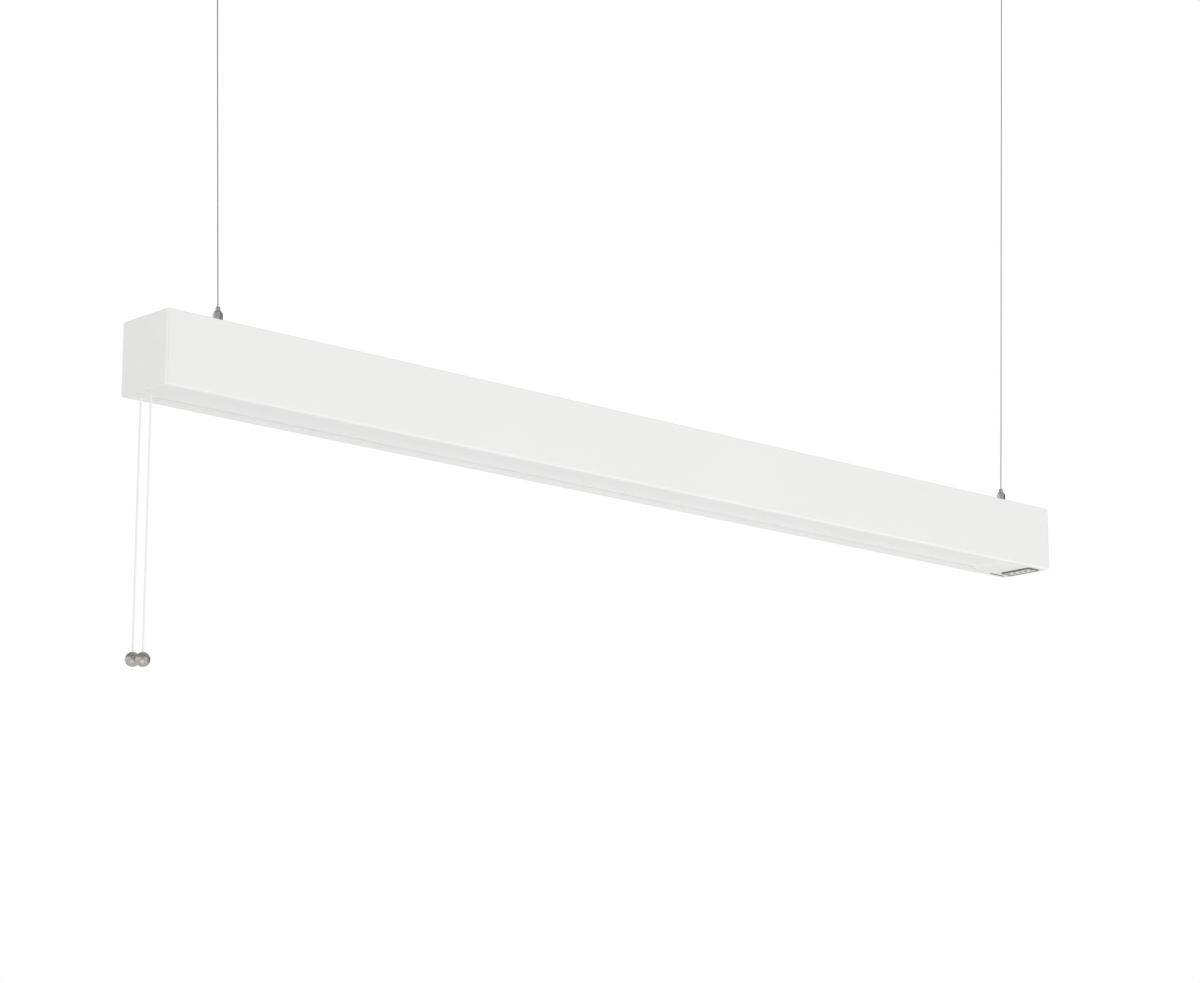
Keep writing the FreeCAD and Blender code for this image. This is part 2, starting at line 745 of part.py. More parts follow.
# ---------------------------------------------------------------- wire grippers
def make_gripper(side, x):
    """Hexagonal gripper on the housing: body, sprung release tip, collet, stud and nut."""
    hexagon = doc.addObject("Part::Prism", f"grip_{side}_hex")
    hexagon.Polygon = 6
    hexagon.Placement = FreeCAD.Placement(
        FreeCAD.Vector(), FreeCAD.Rotation(FreeCAD.Vector(0, 0, 1), GRIP_TURN)
    )
    bind(hexagon, "Circumradius", "grip_flats / sqrt(3)")
    bind(hexagon, "Height", "grip_hex")
    place(hexagon, x, "0", "z_top")
    cone = doc.addObject("Part::Cone", f"grip_{side}_cone")
    bind(cone, "Radius1", "grip_flats / 2")
    bind(cone, "Radius2", "grip_neck")
    bind(cone, "Height", "grip_cone")
    place(cone, x, "0", "z_top + grip_hex")
    mouth = rod(f"grip_{side}_mouth", "tip_radius + tip_play", "grip_hex + grip_cone",
                (x, "0", "z_top + grip_floor"))
    room = rod(f"grip_{side}_room", "grip_bore", "grip_room", (x, "0", "z_top + grip_floor"))
    seat = rod(f"grip_{side}_seat", "stud_radius", "2 * grip_floor",
               (x, "0", "z_top - grip_floor"))
    whole = fuse(f"grip_{side}_whole", [hexagon, cone])
    node(f"gripper_body_{side}", cut(f"grip_{side}", whole, [mouth, room, seat]))

    flange_top = "grip_floor + grip_room - tip_stop"
    tip = turned(f"tip_{side}", [
        ("tip_bore", f"{flange_top} - tip_rim"),
        ("coil_outer", f"{flange_top} - tip_rim"),
        ("coil_outer", flange_top),
        ("tip_radius", flange_top),
        ("tip_radius", "z_mouth - z_top - tip_cone"),
        ("tip_point", "z_mouth - z_top"),
        ("tip_bore", "z_mouth - z_top"),
    ])
    node(f"gripper_tip_{side}", place(tip, x, "0", "z_top"))

    coil = turned(f"coil_{side}", [
        ("coil_inner", "grip_floor"),
        ("coil_outer", "grip_floor"),
        ("coil_outer", f"{flange_top} - tip_rim"),
        ("coil_inner", f"{flange_top} - tip_rim"),
    ])
    node(f"gripper_spring_{side}", place(coil, x, "0", "z_top"))

    collet = turned(f"wedge_{side}", [
        ("wire_radius", "0"),
        ("collet_base", "0"),
        ("collet_base - collet_taper", "collet_height"),
        ("wire_radius", "collet_height"),
    ])
    node(f"gripper_collet_{side}", place(collet, x, "0", "z_top + grip_floor"))

    stud = turned(f"bolt_{side}", [
        ("wire_radius", "-stud_length"),
        ("stud_radius", "-stud_length"),
        ("stud_radius", "grip_floor"),
        ("wire_radius", "grip_floor"),
    ])
    node(f"gripper_stud_{side}", place(stud, x, "0", "z_top"))

    blank = doc.addObject("Part::Prism", f"nut_{side}_hex")
    blank.Polygon = 6
    bind(blank, "Circumradius", "nut_flats / sqrt(3)")
    bind(blank, "Height", "nut_height")
    place(blank, x, "0", "z_roof - nut_height")
    thread = rod(f"nut_{side}_thread", "stud_radius", "3 * nut_height",
                 (x, "0", "z_roof - 2 * nut_height"))
    node(f"gripper_nut_{side}", cut(f"nut_{side}", blank, [thread]))

    tail = rod(f"tail_{side}", "wire_radius", "z_wire - z_top + tail_depth",
               (x, "0", "z_top - tail_depth"))
    node(f"wire_tail_{side}", tail)


def leaning_rod(name, radius, x, low, height, lean, axis):
    """A cylinder that starts on the gripper's axis and leans out to its ceiling cup."""
    item = doc.addObject("Part::Cylinder", name)
    angle = math.degrees(math.atan(num(f"{lean} / wire_rise")))
    item.Placement = FreeCAD.Placement(
        FreeCAD.Vector(), FreeCAD.Rotation(FreeCAD.Vector(0, axis, 0), angle)
    )
    bind(item, "Radius", radius)
    bind(item, "Height", height)
    bind(item, "Placement.Rotation.Angle", f"atan({lean} / wire_rise)")
    return place(item, x, "0", low)


def make_wire(side, x, x_pivot, lean, axis):
    """Taut wire from the gripper's mouth to the ball end that sits in the ceiling cup."""
    length = f"sqrt({lean} ^ 2 + wire_rise ^ 2) + knob_grip"
    wire = leaning_rod(f"wire_{side}", "wire_radius", x, "z_wire", length, lean, axis)
    node(f"suspension_wire_{side}", wire)
    knob = doc.addObject("Part::Sphere", f"knob_{side}_round")
    bind(knob, "Radius", "knob_radius")
    place(knob, x_pivot, "0", "z_pivot")
    bore = leaning_rod(f"knob_{side}_bore", "wire_radius", x, "z_wire", length, lean, axis)
    node(f"wire_ball_{side}", cut(f"knob_{side}", knob, [bore]))


# ---------------------------------------------------------------- ceiling cups
def make_ceiling_cup(side, x_pivot):
    """Base screwed to the ceiling and the cup that turns onto it and holds the ball end."""
    base = turned(f"rose_{side}", [
        ("screw_hole", "-screw_land"),
        ("screw_hole", "0"),
        ("base_radius", "0"),
        ("base_radius", "-base_wall"),
        ("screw_sink", "-base_wall"),
    ])
    node(f"ceiling_base_{side}", place(base, x_pivot))
    cup = turned(f"bowl_{side}", [
        ("throat_radius", "pivot_rise - throat_drop"),
        ("flare_radius", "0"),
        ("cup_radius", "0"),
        ("cup_radius", "cup_height - cup_gap"),
        ("base_radius", "cup_height - cup_gap"),
        ("base_radius", "cup_height - base_wall - clear_gap"),
        ("cup_room", "cup_height - base_wall - clear_gap"),
        ("cup_room", "cup_floor"),
        ("seat_radius", "cup_floor"),
        ("seat_radius", "pivot_rise"),
        ("throat_radius", "pivot_rise"),
    ])
    place(cup, x_pivot, "0", "-cup_height")
    dish = doc.addObject("Part::Sphere", f"dish_{side}")
    bind(dish, "Radius", "seat_radius")
    place(dish, x_pivot, "0", "z_pivot")
    node(f"ceiling_cup_{side}", cut(f"cup_{side}", cup, [dish]))


# ---------------------------------------------------------------- assembly
make_housing()
make_end_cap("left", "x_left", "x_left + cap_wall / 2", "x_left")
make_end_cap("right", "x_body_right", "x_body_right - tab_length", "x_right")
make_covers()
make_diffuser()
make_tray()
make_boards()
make_drivers()
make_terminals_and_leads()
make_mains_lead()
make_inlet()
make_pull_switch(1, "cord_far", "ball_drop_far")
make_pull_switch(2, "cord_near", "ball_drop_near")
make_bushes()
for side, x in (("left", "x_grip_left"), ("right", "x_grip_right")):
    make_gripper(side, x)
make_wire("left", "x_grip_left", "x_grip_left - lean_left", "lean_left", -1)
make_wire("right", "x_grip_right", "x_grip_right + lean_right", "lean_right", 1)
make_ceiling_cup("left", "-screw_pitch / 2")
make_ceiling_cup("right", "screw_pitch / 2")
doc.recompute()

# ---------------------------------------------------------------- checks and files
for item in doc.Objects:
    if {"Invalid", "Error"} & set(item.State):
        raise RuntimeError(f"{item.Name} could not be worked out: {item.State}")
for name, item in nodes.items():
    shape = item.Shape
    if shape.isNull() or not shape.isValid() or not shape.Solids:
        raise RuntimeError(f"{name} has no sound solid")

os.makedirs("parts", exist_ok=True)
for name, item in nodes.items():
    item.Shape.exportStep(f"parts/{name}.step")
print(f"{len(nodes)} sub-parts written")
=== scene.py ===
"""Dresses the hanging shop light: shapes, finishes, cords, studio and camera.

Metres, +Z up, +X along the light to its power inlet, -Y towards the camera. The origin is on the
ceiling, midway between the two ceiling screws.
"""

import json
import logging
import math
from dataclasses import dataclass
from enum import Enum
from typing import ClassVar

import bmesh
import bpy
from mathutils import Matrix, Vector


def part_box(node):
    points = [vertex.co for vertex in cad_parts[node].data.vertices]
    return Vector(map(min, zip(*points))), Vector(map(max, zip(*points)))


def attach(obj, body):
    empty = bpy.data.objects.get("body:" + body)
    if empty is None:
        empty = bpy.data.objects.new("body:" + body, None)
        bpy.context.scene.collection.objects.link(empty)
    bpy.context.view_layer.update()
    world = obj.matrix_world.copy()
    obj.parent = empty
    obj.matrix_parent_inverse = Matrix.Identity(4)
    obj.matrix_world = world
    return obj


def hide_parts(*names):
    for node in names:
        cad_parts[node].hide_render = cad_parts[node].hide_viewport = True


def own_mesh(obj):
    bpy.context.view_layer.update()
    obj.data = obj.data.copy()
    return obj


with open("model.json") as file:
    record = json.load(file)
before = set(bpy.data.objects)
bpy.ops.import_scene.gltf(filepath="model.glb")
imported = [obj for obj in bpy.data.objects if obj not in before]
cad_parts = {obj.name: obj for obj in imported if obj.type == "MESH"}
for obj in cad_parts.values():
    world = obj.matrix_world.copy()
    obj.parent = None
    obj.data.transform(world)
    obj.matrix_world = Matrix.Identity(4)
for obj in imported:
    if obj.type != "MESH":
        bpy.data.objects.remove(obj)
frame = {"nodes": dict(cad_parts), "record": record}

logging.basicConfig(level=logging.INFO, format="%(name)s: %(message)s")
log = logging.getLogger("shop_light")

MM = 0.001
LEFT_END = -622.0 * MM
RIGHT_END = 578.0 * MM
ROOF = -640.0 * MM
UNDERSIDE = -709.0 * MM
HALF_WIDTH = 33.5 * MM
CAP_WALL = 3.0 * MM
HOUSING_WALL = 1.8 * MM
SHARP_ANGLE = math.radians(35.0)
BEVEL_ANGLE = math.radians(50.0)
MERGE = 1e-7
GRIP_TURN = math.radians(17.0)
GRIP_X = {"left": -543.0 * MM, "right": 537.0 * MM}
PIVOT_X = {"left": -563.0 * MM, "right": 563.0 * MM}
PIVOT_Z = -19.5 * MM
SIDES = ("left", "right")

Colour = tuple[float, float, float]
Place = tuple[float, float, float]
Axis = tuple[float, float]
Outline = list[Axis]
Piece = bpy.types.Object
Shape = bmesh.types.BMesh
Material = bpy.types.Material
Socket = bpy.types.NodeSocket


class Record:
    """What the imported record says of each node: its material slot and its body."""

    def __init__(self, record: dict) -> None:
        """Sort the record's rows by node.

        Args:
            record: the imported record.
        """
        self.slots = {row["node"]: row["material_slot"] for row in record["subparts"]}
        bodies = record["behaviour"]["bodies"]
        self.bodies = {node: body for body, nodes in bodies.items() for node in nodes}


RECORD = Record(frame["record"])


# ---------------------------------------------------------------- node helpers
class Sheen(Enum):
    """How a maker would call the gloss of a surface, as a roughness."""

    MATT = 0.62
    SATIN = 0.44
    SILK = 0.32
    BRIGHT = 0.2


class Shader:
    """The node tree of one finish, with short calls to add and join nodes."""

    def __init__(self, name: str) -> None:
        """Start an empty material with its surface shader.

        Args:
            name: the material's name.
        """
        self.material = bpy.data.materials.new(name)
        self.material.use_nodes = True
        self.tree = self.material.node_tree
        self.surface = self.tree.nodes["Principled BSDF"]
        self.place = self.tree.nodes.new("ShaderNodeTexCoord").outputs["Object"]

    def add(self, kind: str, **settings: object) -> bpy.types.Node:
        """Add a node and set its own properties.

        Args:
            kind: the node's type after "ShaderNode".
            settings: properties of the node by name.

        Returns:
            The new node.
        """
        node = self.tree.nodes.new("ShaderNode" + kind)
        for name, value in settings.items():
            setattr(node, name, value)
        return node

    def join(self, source: object, target: Socket) -> None:
        """Link an output to an input, or set the input to a plain value.

        Args:
            source: an output, or a number.
            target: the input.
        """
        if isinstance(source, Socket):
            self.tree.links.new(source, target)
        else:
            target.default_value = source

    def maths(self, operation: str, *values: object) -> Socket:
        """One Math node.

        Args:
            operation: the node's operation, such as "MULTIPLY".
            values: sockets or numbers for its inputs in order.

        Returns:
            The node's result.
        """
        node = self.add("Math", operation=operation)
        for value, target in zip(values, node.inputs):
            self.join(value, target)
        return node.outputs[0]

    def noise(self, scale: float, detail: float = 2.0, place: Socket | None = None) -> Socket:
        """Noise around 0.5 with a number of cells per metre.

        Args:
            scale: cells per metre.
            detail: octaves of finer noise.
            place: where to read it, the object's own coordinates if left out.

        Returns:
            The noise value.
        """
        node = self.add("TexNoise")
        self.join(place or self.place, node.inputs["Vector"])
        node.inputs["Scale"].default_value = scale
        node.inputs["Detail"].default_value = detail
        return node.outputs["Fac"]

    def spread(self, value: object, low: float, high: float) -> Socket:
        """Map the middle of a noise to a range.

        Args:
            value: a noise socket.
            low: result at the noise's low end.
            high: result at its high end.

        Returns:
            The mapped value, held inside the range.
        """
        node = self.add("MapRange")
        self.join(value, node.inputs["Value"])
        limits = {"From Min": 0.3, "From Max": 0.7, "To Min": low, "To Max": high}
        for name, number in limits.items():
            node.inputs[name].default_value = number
        return node.outputs["Result"]

    def blend(self, factor: object, first: Colour, second: Colour) -> Socket:
        """Mix two colours by a factor.

        Args:
            factor: socket from 0 to 1.
            first: colour at 0.
            second: colour at 1.

        Returns:
            The mixed colour.
        """
        node = self.add("Mix", data_type="RGBA")
        self.join(factor, node.inputs[0])
        node.inputs[6].default_value = (*first, 1.0)
        node.inputs[7].default_value = (*second, 1.0)
        return node.outputs[2]

    def stretched(self, scale: Place) -> Socket:
        """Object coordinates stretched along the axes.

        Args:
            scale: factor on each axis.

        Returns:
            The stretched coordinates.
        """
        node = self.add("Mapping")
        self.join(self.place, node.inputs["Vector"])
        node.inputs["Scale"].default_value = scale
        return node.outputs["Vector"]

    def relief(self, height: object, depth: float, strength: float,
               below: Socket | None = None) -> Socket:
        """Raise the surface by a height.

        Args:
            height: socket from 0 to 1.
            depth: what a height of 1 stands for, in metres.
            strength: share of the effect.
            below: the normal that this relief lies on.

        Returns:
            The new normal.
        """
        node = self.add("Bump")
        node.inputs["Strength"].default_value = strength
        node.inputs["Distance"].default_value = depth
        self.join(height, node.inputs["Height"])
        if below is not None:
            self.join(below, node.inputs["Normal"])
        return node.outputs["Normal"]

    def finish(self, colour: object, roughness: object, normal: Socket | None = None,
               **constants: float) -> Material:
        """Feed the surface shader.

        Args:
            colour: a colour socket or a plain colour.
            roughness: a socket or a number.
            normal: the relief's normal.
            constants: other sockets of the shader by name, with _ for a space.

        Returns:
            The finished material.
        """
        if isinstance(colour, Socket):
            self.join(colour, self.surface.inputs["Base Color"])
        else:
            self.surface.inputs["Base Color"].default_value = (*colour, 1.0)
        self.join(roughness, self.surface.inputs["Roughness"])
        if normal is not None:
            self.join(normal, self.surface.inputs["Normal"])
        for name, value in constants.items():
            self.surface.inputs[name.replace("_", " ")].default_value = value
        return self.material


def tinted(colour: Colour, factor: float) -> Colour:
    """The same colour, lighter or darker by a factor."""
    return tuple(min(1.0, c * factor) for c in colour)


# ---------------------------------------------------------------- finishes
@dataclass(frozen=True)
class Finish:
    """A surface finish with its own procedural material."""

    name: str
    colour: Colour
    sheen: Sheen = Sheen.SATIN

    def material(self) -> Material:
        """The material of this finish, made once."""
        known = bpy.data.materials.get(self.name)
        return known if known else self.build(Shader(self.name))

    def build(self, shader: Shader) -> Material:
        """Set up the nodes; each kind of finish has its own."""
        return shader.finish(self.colour, self.sheen.value)

    def tones(self, shader: Shader, factor: Socket, dark: float, light: float) -> Socket:
        """The finish's colour between a darker and a lighter tone of it.

        Args:
            shader: the finish's nodes.
            factor: 0 where it is dark and 1 where it is light.
            dark: factor of the dark tone.
            light: factor of the light tone.

        Returns:
            The colour.
        """
        return shader.blend(factor, tinted(self.colour, dark), tinted(self.colour, light))

    def gloss(self, shader: Shader, value: Socket, less: float, more: float) -> Socket:
        """The finish's roughness, varied by a noise.

        Args:
            shader: the finish's nodes.
            value: the noise.
            less: how far it goes below the sheen's own roughness.
            more: how far it goes above.

        Returns:
            The roughness.
        """
        return shader.spread(value, self.sheen.value - less, self.sheen.value + more)


@dataclass(frozen=True)
class PowderCoat(Finish):
    """Baked powder paint on metal: a fine orange peel and a faint change of tone."""

    def build(self, shader: Shader) -> Material:
        """Orange peel at about 1.5 mm over a slow drift of the white.

        Args:
            shader: the finish's nodes.

        Returns:
            The material.
        """
        drift = shader.spread(shader.noise(7.0, 3.0), 0.0, 1.0)
        colour = self.tones(shader, drift, 0.988, 1.006)
        peel = shader.noise(620.0)
        grain = shader.noise(4200.0, 1.0)
        normal = shader.relief(peel, 0.02 * MM, 0.5)
        normal = shader.relief(grain, 0.004 * MM, 0.5, normal)
        rough = self.gloss(shader, peel, 0.03, 0.05)
        return shader.finish(colour, rough, normal)


@dataclass(frozen=True)
class MouldedPlastic(Finish):
    """Injection-moulded plastic with a spark-eroded skin."""

    def build(self, shader: Shader) -> Material:
        """Fine erosion grain and the soft flow marks of moulding.

        Args:
            shader: the finish's nodes.

        Returns:
            The material.
        """
        flow = shader.spread(shader.noise(1.0, 3.0, shader.stretched((9.0, 60.0, 25.0))), 0.0, 1.0)
        colour = self.tones(shader, flow, 0.985, 1.01)
        grain = shader.noise(3200.0)
        normal = shader.relief(grain, 0.012 * MM, 0.55)
        rough = self.gloss(shader, grain, 0.04, 0.06)
        return shader.finish(colour, rough, normal)


@dataclass(frozen=True)
class OpalSheet(Finish):
    """Extruded opal sheet: milky body, faint lines along its length, satin skin."""

    def build(self, shader: Shader) -> Material:
        """Draw lines along X under a fine frost.

        Args:
            shader: the finish's nodes.

        Returns:
            The material.
        """
        draw = shader.noise(1.0, 2.0, shader.stretched((2.0, 900.0, 900.0)))
        cloud = shader.spread(shader.noise(14.0), 0.0, 1.0)
        colour = self.tones(shader, cloud, 0.99, 1.008)
        frost = shader.noise(5200.0, 1.0)
        normal = shader.relief(draw, 0.008 * MM, 0.4)
        normal = shader.relief(frost, 0.004 * MM, 0.5, normal)
        rough = self.gloss(shader, draw, 0.03, 0.04)
        return shader.finish(colour, rough, normal)


@dataclass(frozen=True)
class ZincedSteel(Finish):
    """Hot-dipped sheet steel with its spangle."""

    grain: float = 130.0

    def build(self, shader: Shader) -> Material:
        """Crystals of slightly different grey and gloss.

        Args:
            shader: the finish's nodes.

        Returns:
            The material.
        """
        cells = shader.add("TexVoronoi")
        shader.join(shader.place, cells.inputs["Vector"])
        cells.inputs["Scale"].default_value = self.grain
        tone = shader.add("SeparateColor")
        shader.join(cells.outputs["Color"], tone.inputs[0])
        colour = self.tones(shader, tone.outputs[0], 0.86, 1.1)
        rough = shader.maths("MULTIPLY_ADD", tone.outputs[1], 0.14, self.sheen.value - 0.07)
        normal = shader.relief(shader.noise(2600.0), 0.006 * MM, 0.5)
        return shader.finish(colour, rough, normal, Metallic=1.0)


@dataclass(frozen=True)
class TurnedMetal(Finish):
    """Turned and plated metal with fine tool marks round its upright axis."""

    WAVE: ClassVar[float] = math.tau / 20  # a Wave node of this scale has one band per unit

    pitch: float = 0.12 * MM

    def build(self, shader: Shader) -> Material:
        """Tool marks as rings in Z, with small scratches and a drift of tone.

        Args:
            shader: the finish's nodes.

        Returns:
            The material.
        """
        ring = shader.add("TexWave", wave_type="BANDS", bands_direction="Z")
        shader.join(shader.place, ring.inputs["Vector"])
        ring.inputs["Scale"].default_value = self.WAVE / self.pitch
        ring.inputs["Distortion"].default_value = 1.5
        ring.inputs["Detail"].default_value = 2.0
        drift = shader.spread(shader.noise(420.0), 0.0, 1.0)
        colour = self.tones(shader, drift, 0.95, 1.04)
        normal = shader.relief(ring.outputs["Fac"], 0.006 * MM, 0.5)
        normal = shader.relief(shader.noise(3800.0), 0.004 * MM, 0.5, normal)
        rough = self.gloss(shader, shader.noise(900.0), 0.05, 0.07)
        return shader.finish(colour, rough, normal, Metallic=1.0)


@dataclass(frozen=True)
class StrandedWire(Finish):
    """Steel wire laid up from thin strands, on an axis that leans in X."""

    foot: Axis = (0.0, 0.0)
    lean: float = 0.0
    lay: float = 7.0 * MM
    strands: int = 6

    def build(self, shader: Shader) -> Material:
        """Diagonal strands from the angle round the wire and the height along it, with painted
        shade between the strands and painted highlight on their crowns.

        Args:
            shader: the finish's nodes.

        Returns:
            The material.
        """
        axes = shader.add("SeparateXYZ")
        shader.join(shader.place, axes.inputs[0])
        x, y, z = axes.outputs
        centre = shader.maths("MULTIPLY_ADD", z, self.lean, self.foot[0] - self.lean * self.foot[1])
        angle = shader.maths("ARCTAN2", y, shader.maths("SUBTRACT", x, centre))
        turn = shader.maths("MULTIPLY_ADD", z, math.tau / self.lay, angle)
        wave = shader.maths("SINE", shader.maths("MULTIPLY", turn, float(self.strands)))
        height = shader.maths("MULTIPLY_ADD", wave, 0.5, 0.5)
        # Painted shade and highlight: the colour darkens between the strands and lightens on their
        # crowns.
        colour = self.tones(shader, height, 0.55, 1.12)
        normal = shader.relief(height, 0.07 * MM, 0.8)
        rough = self.gloss(shader, shader.noise(1500.0), 0.05, 0.06)
        return shader.finish(colour, rough, normal, Metallic=1.0)


@dataclass(frozen=True)
class BraidedCord(Finish):
    """Braided cord: two families of yarns that cross round an upright axis."""

    axis: Axis = (0.0, 0.0)
    lay: float = 9.0 * MM
    yarns: int = 8

    def build(self, shader: Shader) -> Material:
        """Crossing diagonal waves as both relief and painted shade between the yarns.

        Args:
            shader: the finish's nodes.

        Returns:
            The material.
        """
        axes = shader.add("SeparateXYZ")
        shader.join(shader.place, axes.inputs[0])
        x, y, z = axes.outputs
        angle = shader.maths("ARCTAN2", shader.maths("SUBTRACT", y, self.axis[1]),
                             shader.maths("SUBTRACT", x, self.axis[0]))
        around = shader.maths("MULTIPLY", angle, float(self.yarns))
        along = shader.maths("MULTIPLY", z, math.tau * self.yarns / self.lay)
        right = shader.maths("SINE", shader.maths("ADD", around, along))
        left = shader.maths("SINE", shader.maths("SUBTRACT", around, along))
        weave = shader.maths("MULTIPLY_ADD", shader.maths("MULTIPLY", right, left), 0.5, 0.5)
        colour = self.tones(shader, weave, 0.94, 1.01)
        normal = shader.relief(weave, 0.05 * MM, 0.6)
        normal = shader.relief(shader.noise(9000.0, 1.0), 0.01 * MM, 0.4, normal)
        return shader.finish(colour, self.sheen.value, normal, Sheen_Weight=0.15)


@dataclass(frozen=True)
class LightBoard(Finish):
    """White solder mask over wide copper areas, which show as soft steps."""

    def build(self, shader: Shader) -> Material:
        """Copper areas as bricks along the board.

        Args:
            shader: the finish's nodes.

        Returns:
            The material.
        """
        areas = shader.add("TexBrick", offset=0.5)
        shader.join(shader.place, areas.inputs["Vector"])
        sizes = {"Scale": 22.0, "Mortar Size": 0.012, "Brick Width": 0.42, "Row Height": 0.2}
        for name, value in sizes.items():
            areas.inputs[name].default_value = value
        areas.inputs["Color1"].default_value = (*self.colour, 1.0)
        areas.inputs["Color2"].default_value = (*tinted(self.colour, 0.985), 1.0)
        areas.inputs["Mortar"].default_value = (*tinted(self.colour, 0.93), 1.0)
        normal = shader.relief(areas.outputs["Fac"], 0.03 * MM, 0.5)
        return shader.finish(areas.outputs["Color"], self.sheen.value, normal)


@dataclass(frozen=True)
class Sheath(Finish):
    """Extruded cable sheath with faint lines along it and a dusty bloom."""

    def build(self, shader: Shader) -> Material:
        """Draw lines along X and a slow bloom.

        Args:
            shader: the finish's nodes.

        Returns:
            The material.
        """
        draw = shader.noise(1.0, 2.0, shader.stretched((6.0, 1400.0, 1400.0)))
        bloom = shader.spread(shader.noise(60.0, 3.0), 0.0, 1.0)
        colour = self.tones(shader, bloom, 0.94, 1.03)
        normal = shader.relief(draw, 0.02 * MM, 0.5)
        return shader.finish(colour, self.sheen.value, normal)


@dataclass(frozen=True)
class Phosphor(Finish):
    """Cast yellow phosphor of a light chip."""

    def build(self, shader: Shader) -> Material:
        """Grainy resin under a clear skin.

        Args:
            shader: the finish's nodes.

        Returns:
            The material.
        """
        grain = shader.spread(shader.noise(5200.0), 0.0, 1.0)
        colour = self.tones(shader, grain, 0.9, 1.05)
        normal = shader.relief(grain, 0.01 * MM, 0.5)
        return shader.finish(colour, self.sheen.value, normal, Coat_Weight=0.4)


FINISHES: dict[str, Finish] = {
    "housing_white": PowderCoat("white_powder_coat", (0.865, 0.866, 0.858)),
    "cap_white": MouldedPlastic("white_moulded_cap", (0.862, 0.863, 0.853)),
    "cover_white": MouldedPlastic("white_moulded_cover", (0.852, 0.853, 0.845)),
    "opal": OpalSheet("opal_sheet", (0.848, 0.848, 0.844)),
    "galvanised": ZincedSteel("galvanised_sheet", (0.58, 0.60, 0.62)),
    "board_white": LightBoard("white_solder_mask", (0.84, 0.85, 0.84), Sheen.SILK),
    "chip_yellow": Phosphor("chip_phosphor", (0.86, 0.66, 0.16), Sheen.SILK),
    "rivet_aluminium": TurnedMetal("rivet_aluminium", (0.72, 0.72, 0.73), Sheen.SILK),
    "driver_white": MouldedPlastic("white_driver_case", (0.74, 0.74, 0.71), Sheen.MATT),
    "zinc": TurnedMetal("zinc_plate", (0.60, 0.62, 0.66), Sheen.SILK, 0.2 * MM),
    "terminal_grey": MouldedPlastic("grey_polyamide", (0.36, 0.37, 0.38), Sheen.MATT),
    "lead_grey": Sheath("grey_sheath", (0.46, 0.46, 0.46), Sheen.MATT),
    "inlet_dark": MouldedPlastic("dark_polyamide", (0.17, 0.17, 0.175), Sheen.SATIN),
    "inlet_light": MouldedPlastic("pale_grey_polyamide", (0.74, 0.74, 0.735), Sheen.SATIN),
    "contact_brass": TurnedMetal("tinned_brass", (0.60, 0.46, 0.22), Sheen.SILK),
    "switch_white": MouldedPlastic("white_switch_case", (0.74, 0.74, 0.73), Sheen.SILK),
    "slider_plastic": MouldedPlastic("natural_nylon", (0.62, 0.62, 0.58), Sheen.SATIN),
    "spring_steel": TurnedMetal("spring_steel", (0.42, 0.42, 0.44), Sheen.BRIGHT, 0.3 * MM),
    "cord_white": BraidedCord("white_braid", (0.92, 0.92, 0.91), Sheen.MATT),
    "ball_nickel": TurnedMetal("satin_nickel_ball", (0.56, 0.53, 0.50), Sheen.SILK, 0.35 * MM),
    "gripper_nickel": TurnedMetal("nickel_gripper", (0.58, 0.58, 0.59), Sheen.SILK),
    "wire_steel": TurnedMetal("bright_wire_steel", (0.46, 0.46, 0.47), Sheen.SILK),
    "cup_nickel": TurnedMetal("satin_nickel_cup", (0.46, 0.455, 0.45), Sheen.SILK, 0.16 * MM),
}


# ---------------------------------------------------------------- shape helpers
def rounded(points: Outline, radii: dict[int, float], steps: int = 4) -> Outline:
    """Turn chosen corners of a closed outline into short arcs.

    Args:
        points: the outline's corners in order.
        radii: radius by the corner's place in the list.
        steps: parts of each arc.

    Returns:
        The outline with its arcs.
    """
    made: Outline = []
    count = len(points)
    for i, corner in enumerate(points):
        radius = radii.get(i, 0.0)
        if radius <= 0:
            made.append(corner)
            continue
        here = Vector(corner)
        back = (Vector(points[i - 1]) - here).normalized()
        ahead = (Vector(points[(i + 1) % count]) - here).normalized()
        half = back.angle(ahead) / 2
        centre = here + (back + ahead).normalized() * (radius / math.sin(half))
        first = (here + back * (radius / math.tan(half)) - centre).normalized()
        last = (here + ahead * (radius / math.tan(half)) - centre).normalized()
        for k in range(steps + 1):
            made.append(tuple(centre + first.slerp(last, k / steps) * radius))
    return made


def plain_copy(thing: Piece) -> Piece:
    """Turn an object's evaluated result into its plain mesh and drop its modifiers.

    Args:
        thing: the object.

    Returns:
        The same object.
    """
    graph = bpy.context.evaluated_depsgraph_get()
    graph.update()
    mesh = bpy.data.meshes.new_from_object(thing.evaluated_get(graph))
    thing.modifiers.clear()
    thing.data = mesh
    return thing


def settle(thing: Piece) -> Piece:
    """Shade smooth except at sharp edges, with the large flat faces kept flat.

    Args:
        thing: the piece.

    Returns:
        The piece.
    """
    thing.data.shade_smooth()
    thing.data.set_sharp_from_angle(angle=SHARP_ANGLE)
    step = thing.modifiers.new("flat_faces", "WEIGHTED_NORMAL")
    step.keep_sharp = True
    step.weight = 60
    return plain_copy(thing)


def linked(name: str, data: bpy.types.ID) -> Piece:
    """A new object in the scene.

    Args:
        name: the object's name.
        data: its mesh, curve, lamp or camera.

    Returns:
        The object.
    """
    thing = bpy.data.objects.new(name, data)
    bpy.context.scene.collection.objects.link(thing)
    return thing


def cleaned(shape: Shape, mesh: bpy.types.Mesh) -> bpy.types.Mesh:
    """Write a shape to a mesh with merged points and outward faces.

    Args:
        shape: the shape, which is used up.
        mesh: the mesh to write.

    Returns:
        The mesh.
    """
    bmesh.ops.remove_doubles(shape, verts=shape.verts, dist=MERGE)
    bmesh.ops.recalc_face_normals(shape, faces=shape.faces)
    shape.to_mesh(mesh)
    shape.free()
    return mesh


